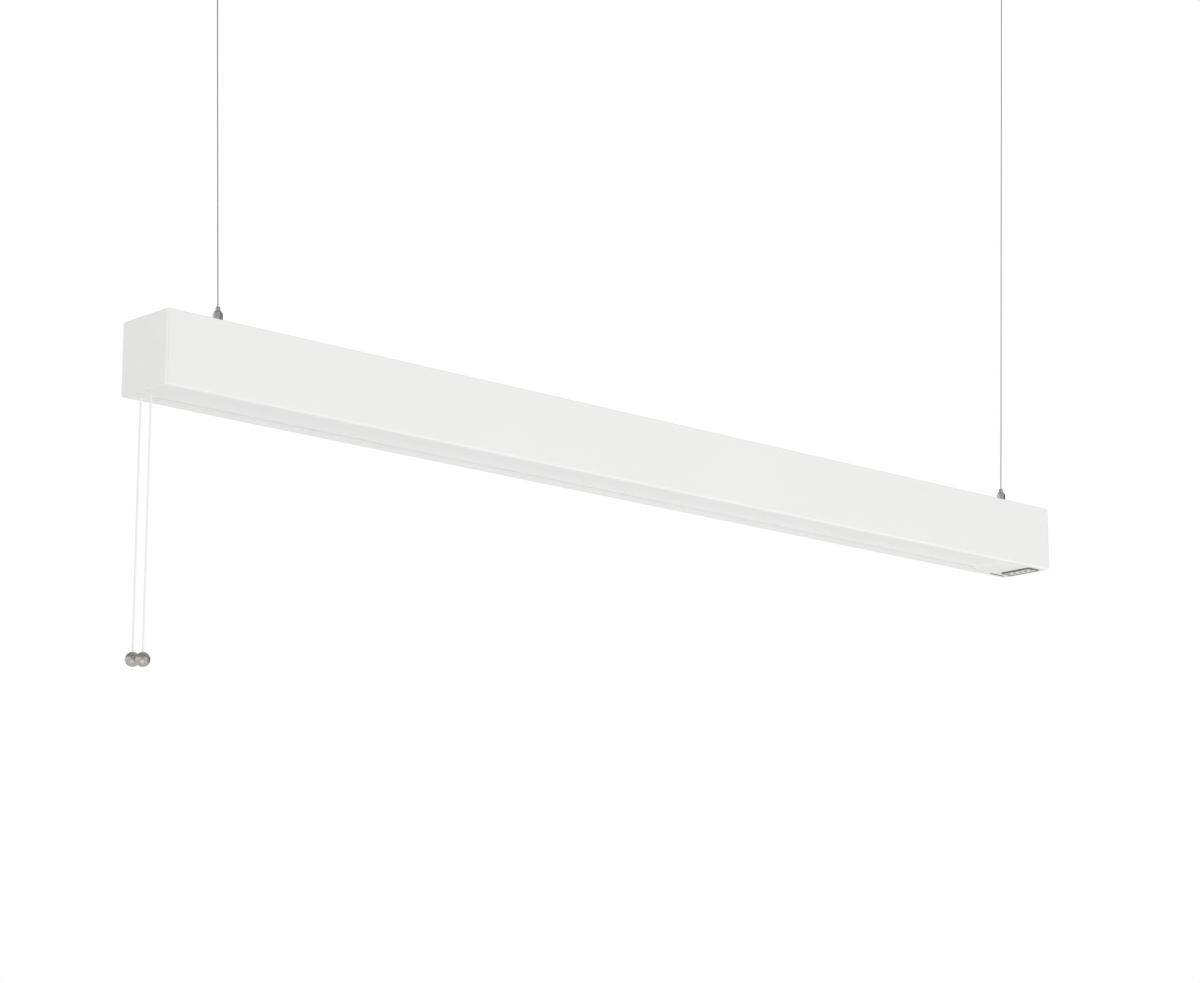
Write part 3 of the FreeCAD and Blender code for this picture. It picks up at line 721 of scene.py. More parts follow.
def from_bmesh(name: str, shape: Shape) -> Piece:
    """Make a piece of a finished shape."""
    return settle(linked(name, cleaned(shape, bpy.data.meshes.new(name))))


def add_turned(shape: Shape, outline: Outline, centre: Axis, segments: int) -> None:
    """Add a closed body of revolution round an upright axis.

    Args:
        shape: the shape to add to.
        outline: closed outline of (radius, height) points.
        centre: the axis in X and Y.
        segments: sides round the axis.
    """
    rings = []
    for radius, height in outline:
        if radius < 1e-9:
            rings.append([shape.verts.new((*centre, height))] * segments)
            continue
        rings.append([
            shape.verts.new((centre[0] + radius * math.cos(math.tau * k / segments),
                             centre[1] + radius * math.sin(math.tau * k / segments), height))
            for k in range(segments)
        ])
    for i, ring in enumerate(rings):
        after = rings[(i + 1) % len(rings)]
        for k in range(segments):
            corners = [ring[k], ring[(k + 1) % segments], after[(k + 1) % segments], after[k]]
            single = list(dict.fromkeys(corners))
            if len(single) > 2:
                shape.faces.new(single)


def turned(name: str, outline: Outline, centre: Axis, segments: int) -> Piece:
    """A closed body of revolution as an object.

    Args:
        name: the piece's name.
        outline: closed outline of (radius, height) points.
        centre: the axis in X and Y.
        segments: sides round the axis.

    Returns:
        The piece.
    """
    shape = bmesh.new()
    add_turned(shape, outline, centre, segments)
    return from_bmesh(name, shape)


def add_box(shape: Shape, low: Vector, high: Vector, soft: float = 0.0) -> None:
    """Add a block with softened edges.

    Args:
        shape: the shape to add to.
        low: lowest corner.
        high: highest corner.
        soft: width of the softened edges.
    """
    size = high - low
    where = Matrix.Translation((low + high) / 2) @ Matrix.Diagonal((*size, 1.0))
    made = bmesh.ops.create_cube(shape, size=1.0, matrix=where)
    if soft > 0:
        edges = list({e for v in made["verts"] for e in v.link_edges})
        bmesh.ops.bevel(shape, geom=edges, offset=soft, segments=2, profile=0.5, affect="EDGES")


def slab(outline: Outline, x: float) -> list[Vector]:
    """An outline in Y and Z as points at one X."""
    return [Vector((x, y, z)) for y, z in outline]


def add_loft(shape: Shape, rings: list[list[Vector]], endless: bool = False) -> None:
    """Skin a row of rings with equal counts.

    Args:
        shape: the shape to add to.
        rings: the rings in order.
        endless: join the last ring to the first, instead of closing both ends.
    """
    rows = [[shape.verts.new(p) for p in ring] for ring in rings]
    following = rows[1:] + rows[:1] if endless else rows[1:]
    for here, after in zip(rows, following):
        for k in range(len(here)):
            n = (k + 1) % len(here)
            shape.faces.new((here[k], here[n], after[n], after[k]))
    if not endless:
        shape.faces.new(rows[0])
        shape.faces.new(rows[-1])


def lofted(name: str, rings: list[list[Vector]], endless: bool = False) -> Piece:
    """A skinned row of rings as an object.

    Args:
        name: the piece's name.
        rings: the rings in order.
        endless: join the last ring to the first, instead of closing both ends.

    Returns:
        The piece.
    """
    shape = bmesh.new()
    add_loft(shape, rings, endless)
    return from_bmesh(name, shape)


def carved(thing: Piece, tool: Piece, operation: str) -> Piece:
    """Cut or intersect a piece with another, which is used up.

    Args:
        thing: the piece that stays.
        tool: the cutter.
        operation: DIFFERENCE, INTERSECT or UNION.

    Returns:
        The carved piece.
    """
    step = thing.modifiers.new("carve", "BOOLEAN")
    step.object = tool
    step.operation = operation
    step.solver = "EXACT"
    plain_copy(thing)
    bpy.data.objects.remove(tool)
    return settle(thing)


def softened(node: str, name: str, width: float) -> Piece:
    """A copy of a node's shape with its sharp edges rounded.

    Args:
        node: the node to copy.
        name: the new piece's name.
        width: width of the rounding.

    Returns:
        The copy.
    """
    shape = bmesh.new()
    shape.from_mesh(frame["nodes"][node].data)
    bmesh.ops.remove_doubles(shape, verts=shape.verts, dist=MERGE)
    bmesh.ops.dissolve_limit(shape, angle_limit=math.radians(0.5), verts=shape.verts,
                             edges=shape.edges)
    thing = linked(name, cleaned(shape, bpy.data.meshes.new(name)))
    step = thing.modifiers.new("edges", "BEVEL")
    step.width = width
    step.segments = 2
    step.limit_method = "ANGLE"
    step.angle_limit = BEVEL_ANGLE
    return settle(plain_copy(thing))


def dress(thing: Piece, *stands_for: str, finish: Finish | None = None,
          slot: str | None = None) -> Piece:
    """Give a new piece its finish and body, and hide the nodes that it stands for.

    Args:
        thing: the piece.
        stands_for: nodes that it replaces; the first one gives its slot and body.
        finish: its own finish, the slot's if left out.
        slot: the slot whose finish it gets, the first node's if left out.

    Returns:
        The piece.
    """
    slot = slot or RECORD.slots[stands_for[0]]
    thing.data.materials.clear()
    thing.data.materials.append((finish or FINISHES[slot]).material())
    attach(thing, RECORD.bodies[stands_for[0]])
    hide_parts(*stands_for)
    log.info("%s stands for %s", thing.name, ", ".join(stands_for))
    return thing


# ---------------------------------------------------------------- geometry trees
class Tree:
    """A Geometry Nodes tree with named inputs, used once and turned into a plain mesh."""

    def __init__(self, name: str) -> None:
        """Start a tree with a geometry output.

        Args:
            name: the tree's name.
        """
        self.group = bpy.data.node_groups.new(name, "GeometryNodeTree")
        self.group.interface.new_socket("Geometry", in_out="OUTPUT",
                                        socket_type="NodeSocketGeometry")
        self.start = self.group.nodes.new("NodeGroupInput")
        self.end = self.group.nodes.new("NodeGroupOutput")
        self.values: dict[str, object] = {}

    def size(self, name: str, value: float) -> Socket:
        """A named input of the tree with its value for this part.

        Args:
            name: the input's name.
            value: its value; a whole number makes a whole-number input.

        Returns:
            The socket inside the tree.
        """
        kind = "NodeSocketInt" if isinstance(value, int) else "NodeSocketFloat"
        item = self.group.interface.new_socket(name, in_out="INPUT", socket_type=kind)
        self.values[item.identifier] = value
        return self.start.outputs[name]

    def add(self, kind: str, settings: dict[str, object] | None = None,
            **inputs: object) -> bpy.types.Node:
        """Add a node and feed its inputs.

        Args:
            kind: the node's type without its "GeometryNode" start, or a full type name.
            settings: properties of the node.
            inputs: nodes, sockets or values by input name, with _ for a space. A node stands
                for its first output.

        Returns:
            The new node.
        """
        full = kind if kind.startswith(("Shader", "Function")) else "GeometryNode" + kind
        node = self.group.nodes.new(full)
        for name, value in (settings or {}).items():
            setattr(node, name, value)
        for name, value in inputs.items():
            target = node.inputs[name.replace("_", " ")]
            if isinstance(value, bpy.types.Node):
                value = value.outputs[0]
            if isinstance(value, Socket):
                self.group.links.new(value, target)
            else:
                target.default_value = value
        return node

    def union(self, *parts: bpy.types.Node) -> bpy.types.Node:
        """Join the geometry of several nodes.

        Args:
            parts: the nodes.

        Returns:
            The joining node.
        """
        both = self.add("JoinGeometry")
        for part in parts:
            self.group.links.new(part.outputs[0], both.inputs[0])
        return both

    def moved(self, part: bpy.types.Node, x: float, y: float, z: float) -> bpy.types.Node:
        """Shift geometry by three lengths."""
        return self.add("Transform", Geometry=part, Translation=self.vector(x, y, z))

    def vector(self, x: object = 0.0, y: object = 0.0, z: object = 0.0) -> Socket:
        """A vector from three sockets or numbers."""
        return self.add("ShaderNodeCombineXYZ", X=x, Y=y, Z=z).outputs[0]

    def finish(self, geometry: bpy.types.Node, slot: str) -> Piece:
        """Realise the instances, set the material and make the plain mesh, named as the tree.

        Args:
            geometry: the last node.
            slot: the material slot whose finish the whole piece has.

        Returns:
            The piece as a plain mesh object.
        """
        name = self.group.name
        real = self.add("RealizeInstances", Geometry=geometry)
        painted = self.add("SetMaterial", Geometry=real, Material=FINISHES[slot].material())
        self.group.links.new(painted.outputs[0], self.end.inputs[0])
        thing = linked(name, bpy.data.meshes.new(name))
        step = thing.modifiers.new(name, "NODES")
        step.node_group = self.group
        for identifier, value in self.values.items():
            step[identifier] = value
        plain_copy(thing)
        shape = bmesh.new()
        shape.from_mesh(thing.data)
        cleaned(shape, thing.data)
        return settle(thing)


# ---------------------------------------------------------------- camera, light and floor
@dataclass
class Studio:
    """The photograph's camera, a white surround, plain soft lamps and glowing cards that paint
    reflections on the metal.
    """

    camera_place: Place = (-2.2285, -2.3135, -1.4327)
    yaw: float = -42.958
    pitch: float = 12.792
    lens: float = 98.62
    floor_z: float = -2.4
    floor_white: float = 0.55
    ambient: float = 0.82
    target: Place = (0.0, 0.0, -0.65)

    def build_camera(self) -> None:
        """Put the camera where the photograph was taken from, level and without shift."""
        data = bpy.data.cameras.new("photo_camera")
        data.lens = self.lens
        data.sensor_width = 36.0
        data.sensor_fit = "HORIZONTAL"
        data.clip_start = 0.05
        data.clip_end = 200.0
        camera = linked("photo_camera", data)
        yaw, pitch = math.radians(self.yaw), math.radians(self.pitch)
        ahead = Vector((-math.sin(yaw) * math.cos(pitch), math.cos(yaw) * math.cos(pitch),
                        math.sin(pitch)))
        camera.rotation_euler = ahead.to_track_quat("-Z", "Y").to_euler()
        camera.location = self.camera_place
        bpy.context.scene.camera = camera

    def build_world(self) -> None:
        """White to the camera and in reflections, a plain ambient level for everything else."""
        world = bpy.data.worlds.new("studio")
        world.use_nodes = True
        bpy.context.scene.world = world
        tree = world.node_tree
        back = tree.nodes["Background"]
        back.inputs["Color"].default_value = (1.0, 1.0, 1.0, 1.0)
        path = tree.nodes.new("ShaderNodeLightPath")
        either = path.outputs["Is Camera Ray"]
        for name in ("Is Glossy Ray", "Is Transmission Ray"):
            step = tree.nodes.new("ShaderNodeMath")
            step.operation = "MAXIMUM"
            tree.links.new(either, step.inputs[0])
            tree.links.new(path.outputs[name], step.inputs[1])
            either = step.outputs[0]
        level = tree.nodes.new("ShaderNodeMapRange")
        tree.links.new(either, level.inputs["Value"])
        level.inputs["To Min"].default_value = self.ambient
        level.inputs["To Max"].default_value = 1.0
        tree.links.new(level.outputs["Result"], back.inputs["Strength"])

    def build_floor(self) -> None:
        """A wide pale floor that is open from below and keeps the shadow."""
        bpy.ops.mesh.primitive_plane_add(size=120.0, location=(0.0, 0.0, self.floor_z))
        floor = bpy.context.object
        floor.name = "floor"
        material = bpy.data.materials.new("pale_floor")
        material.use_nodes = True
        tree = material.node_tree
        tree.nodes.clear()
        add = tree.nodes.new
        paint = add("ShaderNodeBsdfDiffuse")
        paint.inputs["Color"].default_value = (0.86, 0.86, 0.86, 1.0)
        glow = add("ShaderNodeEmission")
        glow.inputs["Color"].default_value = (1.0, 1.0, 1.0, 1.0)
        path, side = add("ShaderNodeLightPath"), add("ShaderNodeNewGeometry")
        seen = add("ShaderNodeMath")
        seen.operation = "MULTIPLY"
        seen.inputs[1].default_value = self.floor_white
        tree.links.new(path.outputs["Is Camera Ray"], seen.inputs[0])
        lit = add("ShaderNodeMixShader")
        tree.links.new(seen.outputs[0], lit.inputs[0])
        tree.links.new(paint.outputs[0], lit.inputs[1])
        tree.links.new(glow.outputs[0], lit.inputs[2])
        open_below = add("ShaderNodeMixShader")
        tree.links.new(side.outputs["Backfacing"], open_below.inputs[0])
        tree.links.new(lit.outputs[0], open_below.inputs[1])
        tree.links.new(add("ShaderNodeBsdfTransparent").outputs[0], open_below.inputs[2])
        tree.links.new(open_below.outputs[0], add("ShaderNodeOutputMaterial").inputs["Surface"])
        floor.data.materials.append(material)

    def lamp(self, name: str, place: Place, size: float, power: float) -> None:
        """A square soft lamp that faces the light, unseen by the camera and in reflections.

        Args:
            name: the lamp's name.
            place: where it stands.
            size: its side in metres.
            power: watts.
        """
        data = bpy.data.lights.new(name, "AREA")
        data.size = size
        data.energy = power
        thing = linked(name, data)
        thing.location = place
        thing.visible_camera = False
        thing.visible_glossy = False
        aim = Vector(self.target) - Vector(place)
        thing.rotation_euler = aim.to_track_quat("-Z", "Y").to_euler()

    def card(self, name: str, place: Place, size: float, tone: float) -> None:
        """A glowing card that only reflections see: a painted reflection that gives bright metal
        its darker sides, or its highlight where the tone is above 1.

        Args:
            name: the card's name.
            place: where it stands, facing the middle of the light.
            size: its side in metres.
            tone: how bright it looks in a reflection.
        """
        aim = Vector(self.target) - Vector(place)
        shape = bmesh.new()
        turn = aim.to_track_quat("Z", "Y").to_matrix().to_4x4()
        bmesh.ops.create_grid(shape, x_segments=1, y_segments=1, size=size / 2,
                              matrix=Matrix.Translation(place) @ turn)
        mesh = bpy.data.meshes.new(name)
        shape.to_mesh(mesh)
        shape.free()
        card = linked(name, mesh)
        material = bpy.data.materials.new(name)
        material.use_nodes = True
        tree = material.node_tree
        tree.nodes.clear()
        glow = tree.nodes.new("ShaderNodeEmission")
        glow.inputs["Color"].default_value = (tone, tone, tone, 1.0)
        end = tree.nodes.new("ShaderNodeOutputMaterial")
        tree.links.new(glow.outputs[0], end.inputs["Surface"])
        mesh.materials.append(material)
        for ray in ("camera", "diffuse", "transmission", "volume_scatter", "shadow"):
            setattr(card, f"visible_{ray}", False)

    def build(self) -> None:
        """Everything round the object."""
        self.build_camera()
        self.build_world()
        self.build_floor()
        # Painted reflections: dark cards for the metal's darker top and rim, and a bright card for
        # the painted highlight low on the pull balls.
        self.card("back_card", (4.6, 1.7, 0.0), 16.0, 0.16)
        self.card("top_card", (0.0, 0.0, 1.6), 12.0, 0.36)
        self.card("front_card", (-3.3, -3.4, 0.55), 3.6, 0.48)
        self.card("bright_card", (-1.36, -0.9, -2.0), 1.1, 1.45)
        self.lamp("soft_front", (0.8, -4.2, -0.2), 2.2, 16.0)
        self.lamp("soft_below", (0.45, -0.3, -2.2), 2.4, 10.2)
        self.lamp("soft_low_front", (-0.1, -1.9, -2.3), 1.6, 9.0)
        self.lamp("soft_left", (-3.8, -0.9, -1.2), 1.8, 13.0)
        bpy.context.scene.view_settings.view_transform = "Standard"


# ---------------------------------------------------------------- cords
def cord_curve(name: str, points: list[Vector], diameter: float) -> Piece:
    """A round cord on one open NURBS line.

    Args:
        name: the piece's name.
        points: control points from its exit to its far end.
        diameter: its thickness.

    Returns:
        The curve object.
    """
    data = bpy.data.curves.new(name, "CURVE")
    data.dimensions = "3D"
    data.bevel_depth = diameter / 2
    data.bevel_resolution = 5
    data.use_fill_caps = True
    line = data.splines.new("NURBS")
    line.points.add(len(points) - 1)
    for point, place in zip(line.points, points):
        point.co = (*place, 1.0)
    line.order_u = 3
    line.use_endpoint_u = True
    line.use_smooth = True
    return linked(name, data)


@dataclass
class SuspensionWire:
    """One taut wire from its gripper up to the ball end in its ceiling cup."""

    side: str
    z_grip: float = ROOF + 19.2 * MM
    grip: float = 1.0 * MM
    diameter: float = 1.0 * MM

    def build(self) -> Piece:
        """Returns:
            The wire.
        """
        foot = Vector((GRIP_X[self.side], 0.0, self.z_grip))
        pivot = Vector((PIVOT_X[self.side], 0.0, PIVOT_Z))
        top = pivot + (pivot - foot).normalized() * self.grip
        wire = cord_curve(f"wire_{self.side}", [foot, foot.lerp(top, 0.5), top], self.diameter)
        lean = (pivot.x - foot.x) / (pivot.z - foot.z)
        finish = StrandedWire(f"stranded_wire_{self.side}", FINISHES["wire_steel"].colour,
                              Sheen.SILK, (foot.x, foot.z), lean)
        dress(wire, f"suspension_wire_{self.side}", finish=finish)
        return wire


@dataclass
class PullCord:
    """One hanging pull cord with the ball on its end."""

    number: int
    y: float
    drop: float
    x: float = LEFT_END + 6.5 * MM
    seat: float = 26.0 * MM
    diameter: float = 1.8 * MM
    ball_radius: float = 6.5 * MM
    ball_floor: float = 3.0 * MM
    mouth_radius: float = 1.7 * MM
    mouth_depth: float = 1.3 * MM
    play: float = 0.02 * MM

    def build_ball(self) -> Piece:
        """Ball with a countersunk mouth, in which the cord's end is held.

        Returns:
            The ball.
        """
        z = UNDERSIDE - self.drop
        bore = self.diameter / 2 + self.play
        steps = 28
        first = math.asin(self.mouth_radius / self.ball_radius)
        skin = [(0.0, z - self.ball_radius)]
        for k in range(1, steps + 1):
            angle = math.pi - (math.pi - first) * k / steps
            skin.append((self.ball_radius * math.sin(angle),
                         z + self.ball_radius * math.cos(angle)))
        mouth, floor = skin[-1][1], z - self.ball_radius + self.ball_floor
        inside = [(bore, mouth - self.mouth_depth), (bore, floor), (0.0, floor)]
        soft = rounded(skin + inside, {steps: 0.25 * MM}, 3)
        ball = turned(f"pull_ball_piece_{self.number}", soft, (self.x, self.y), 64)
        return dress(ball, f"pull_ball_{self.number}")

    def build(self) -> Piece:
        """Returns:
            The cord.
        """
        ball = self.build_ball()
        top = Vector((self.x, self.y, UNDERSIDE + self.seat))
        end = Vector((self.x, self.y, UNDERSIDE - self.drop - self.ball_radius + self.ball_floor))
        cord = cord_curve(f"cord_{self.number}", [top, top.lerp(end, 0.5), end], self.diameter)
        finish = BraidedCord(f"white_braid_{self.number}", FINISHES["cord_white"].colour,
                             Sheen.MATT, (self.x, self.y))
        dress(cord, f"pull_cord_{self.number}", finish=finish)
        return cord


# ---------------------------------------------------------------- housing
@dataclass
class Housing:
    """The painted extrusion: a box open below with two lips and two pairs of rails."""

    height: float = 69.0 * MM
    wall: float = HOUSING_WALL
    lip_width: float = 7.5 * MM
    lip_wall: float = 1.5 * MM
    lip_rise: float = 4.5 * MM
    rail_rise: float = 24.0 * MM
    rail_depth: float = 2.4 * MM
    rail_wall: float = 1.2 * MM
    rail_gap: float = 1.4 * MM
    stud_hole: float = 3.2 * MM
    corner: float = 0.9 * MM
    low_corner: float = 2.4 * MM
    lip_corner: float = 0.6 * MM

    def section(self) -> Outline:
        """The extrusion's closed section in Y and Z, with softened outer corners.

        Returns:
            The section.
        """
        inner = HALF_WIDTH - self.wall
        opening = HALF_WIDTH - self.lip_width
        rail = inner - self.rail_depth
        slot = self.rail_rise + self.rail_wall
        upper = slot + self.rail_gap
        half = [
            (HALF_WIDTH, self.height), (HALF_WIDTH, 0.0), (opening, 0.0),
            (opening, self.lip_rise), (opening + self.lip_wall, self.lip_rise),
            (opening + self.lip_wall, self.lip_wall), (inner, self.lip_wall),
            (inner, self.rail_rise), (rail, self.rail_rise), (rail, slot), (inner, slot),
            (inner, upper), (rail, upper), (rail, upper + self.rail_wall),
            (inner, upper + self.rail_wall), (inner, self.height - self.wall),
        ]
        whole = half + [(-y, z) for y, z in reversed(half)]
        last = len(whole) - 1
        radii = {0: self.corner, 1: self.low_corner, 2: self.lip_corner, 3: 0.2 * MM, 4: 0.2 * MM}
        radii |= {last - i: r for i, r in radii.items()}
        return [(y, z + UNDERSIDE) for y, z in rounded(whole, radii, 5)]

    def build(self) -> Piece:
        """Extrude the section and drill the two holes for the gripper studs.

        Returns:
            The extrusion.
        """
        section = self.section()
        shell = lofted("housing_shell", [slab(section, LEFT_END + CAP_WALL),
                                         slab(section, RIGHT_END - CAP_WALL)])
        drill = bmesh.new()
        low, high = ROOF - 2 * self.wall, ROOF + self.wall
        for side in SIDES:
            bore = [(0.0, low), (self.stud_hole, low), (self.stud_hole, high), (0.0, high)]
            add_turned(drill, bore, (GRIP_X[side], 0.0), 32)
        carved(shell, from_bmesh("stud_drill", drill), "DIFFERENCE")
        return dress(shell, "housing_profile")


@dataclass
class EndCap:
    """One moulded end plate with softened edges, a fine joint line and three tabs."""

    side: str
    edge: float = 2.5 * MM
    corner: float = 0.9 * MM
    low_corner: float = 2.4 * MM
    face_corner: float = 3.0 * MM
    seam: float = 0.18 * MM
    tab_length: float = 8.0 * MM
    tab_wall: float = 2.0 * MM
    tab_play: float = 0.2 * MM
    tab_reach: float = 20.0 * MM
    tab_low: float = 34.0 * MM
    tab_high: float = 54.0 * MM
    steps: int = 6

    def ring(self, x: float, inset: float) -> list[Vector]:
        """The plate's outline at one X, with rounder corners further in.

        Args:
            x: where the outline lies.
            inset: how far it is drawn in.

        Returns:
            The outline's points.
        """
        y, low, high = HALF_WIDTH - inset, UNDERSIDE + inset, ROOF - inset
        share = min(1.0, inset / self.edge)
        upper, lower = (r + (self.face_corner - r) * share for r in (self.corner, self.low_corner))
        corners = [(y, high), (y, low), (-y, low), (-y, high)]
        return slab(rounded(corners, {0: upper, 1: lower, 2: lower, 3: upper}, 6), x)

    def build(self) -> Piece:
        """Loft the plate from the joint to the face and add the tabs.

        Returns:
            The end cap.
        """
        left = self.side == "left"
        way, face = (-1.0, LEFT_END) if left else (1.0, RIGHT_END)
        joint = face - way * CAP_WALL
        rings = [self.ring(joint, self.seam), self.ring(joint + way * self.seam, 0.0)]
        for k in range(self.steps + 1):
            angle = math.pi / 2 * k / self.steps
            rings.append(self.ring(face - way * self.edge * (1 - math.sin(angle)),
                                   self.edge * (1 - math.cos(angle))))
        shape = bmesh.new()
        add_loft(shape, rings)
        x_low, x_high = sorted((joint - way * self.tab_length, joint + way * CAP_WALL / 2))
        roof = ROOF - HOUSING_WALL - self.tab_play
        side_out = HALF_WIDTH - HOUSING_WALL - self.tab_play
        side_in = side_out - self.tab_wall
        low, high = UNDERSIDE + self.tab_low, UNDERSIDE + self.tab_high
        for y_low, y_high, z_low, z_high in (
            (-self.tab_reach, self.tab_reach, roof - self.tab_wall, roof),
            (-side_out, -side_in, low, high), (side_in, side_out, low, high),
        ):
            add_box(shape, Vector((x_low, y_low, z_low)), Vector((x_high, y_high, z_high)),
                    0.4 * MM)
        return dress(from_bmesh(f"end_cap_piece_{self.side}", shape), f"end_cap_{self.side}")


# ---------------------------------------------------------------- underside
@dataclass
class Underside:
    """What closes the housing from below: opal sheet, two covers, bushes, and a dark strip that
    paints the shadow line along the far lip.
    """

    soft: float = 0.3 * MM
    bush_radius: float = 3.0 * MM
    bush_bore: float = 1.02 * MM
    # Size and place of the dark strip that paints the joint's shadow line.
    shadow_strip_width: float = 0.8 * MM
    shadow_strip_length: float = 23.0 * MM
    shadow_strip_low: float = -0.35 * MM
    shadow_strip_high: float = 3.0 * MM

    def build_diffuser(self) -> Piece:
        """Opal sheet with drawn, rounded long edges.

        Returns:
            The sheet.
        """
        low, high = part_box("diffuser")
        radius = (high.z - low.z) * 0.4
        corners = [(high.y, high.z), (high.y, low.z), (low.y, low.z), (low.y, high.z)]
        section = rounded(corners, {i: radius for i in range(4)}, 5)
        sheet = lofted("diffuser_sheet", [slab(section, low.x), slab(section, high.x)])
        return dress(sheet, "diffuser")

    def build_bushes(self, places: list[Axis]) -> Piece:
        """Flanged bushes with a rolled rim round each cord.

        Args:
            places: the cords' axes in X and Y.

        Returns:
            Both bushes.
        """
        low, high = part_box("cord_bushes")
        outline = rounded(
            [(self.bush_bore, low.z), (self.bush_radius, low.z), (self.bush_radius, high.z),
             (self.bush_bore, high.z)],
            {0: 0.3 * MM, 1: 0.25 * MM, 3: 0.5 * MM}, 5)
        shape = bmesh.new()
        for place in places:
            add_turned(shape, outline, place, 40)
        return dress(from_bmesh("bush_pair", shape), "cord_bushes")

    def build_shadow_strip(self) -> Piece:
        """Dark grey strip in the joint between the inlet cover and the far lip: painted shadow,
        standing in for the shadow line of that joint.

        Returns:
            The strip.
        """
        _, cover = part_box("inlet_cover")
        _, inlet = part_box("inlet_frame")
        shape = bmesh.new()
        low = (inlet.x - self.shadow_strip_length, cover.y - self.shadow_strip_width, UNDERSIDE + self.shadow_strip_low)
        high = (inlet.x, cover.y, UNDERSIDE + self.shadow_strip_high)
        add_box(shape, Vector(low), Vector(high), 0.2 * MM)
        # Its dark grey is painted shadow along the joint.
        finish = Sheath("painted_shadow_strip", (0.24, 0.24, 0.245), Sheen.MATT)
        shadow_strip = from_bmesh("inlet_cover_shadow_strip", shape)
        return dress(shadow_strip, "inlet_cover", finish=finish, slot="lead_grey")

    def build(self, cords: list[PullCord]) -> None:
        """Make all pieces of the underside.

        Args:
            cords: the pull cords that leave it.
        """
        self.build_diffuser()
        for node in ("switch_cover", "inlet_cover"):
            dress(softened(node, f"{node}_piece", self.soft), node)
        self.build_bushes([(cord.x, cord.y) for cord in cords])
        self.build_shadow_strip()


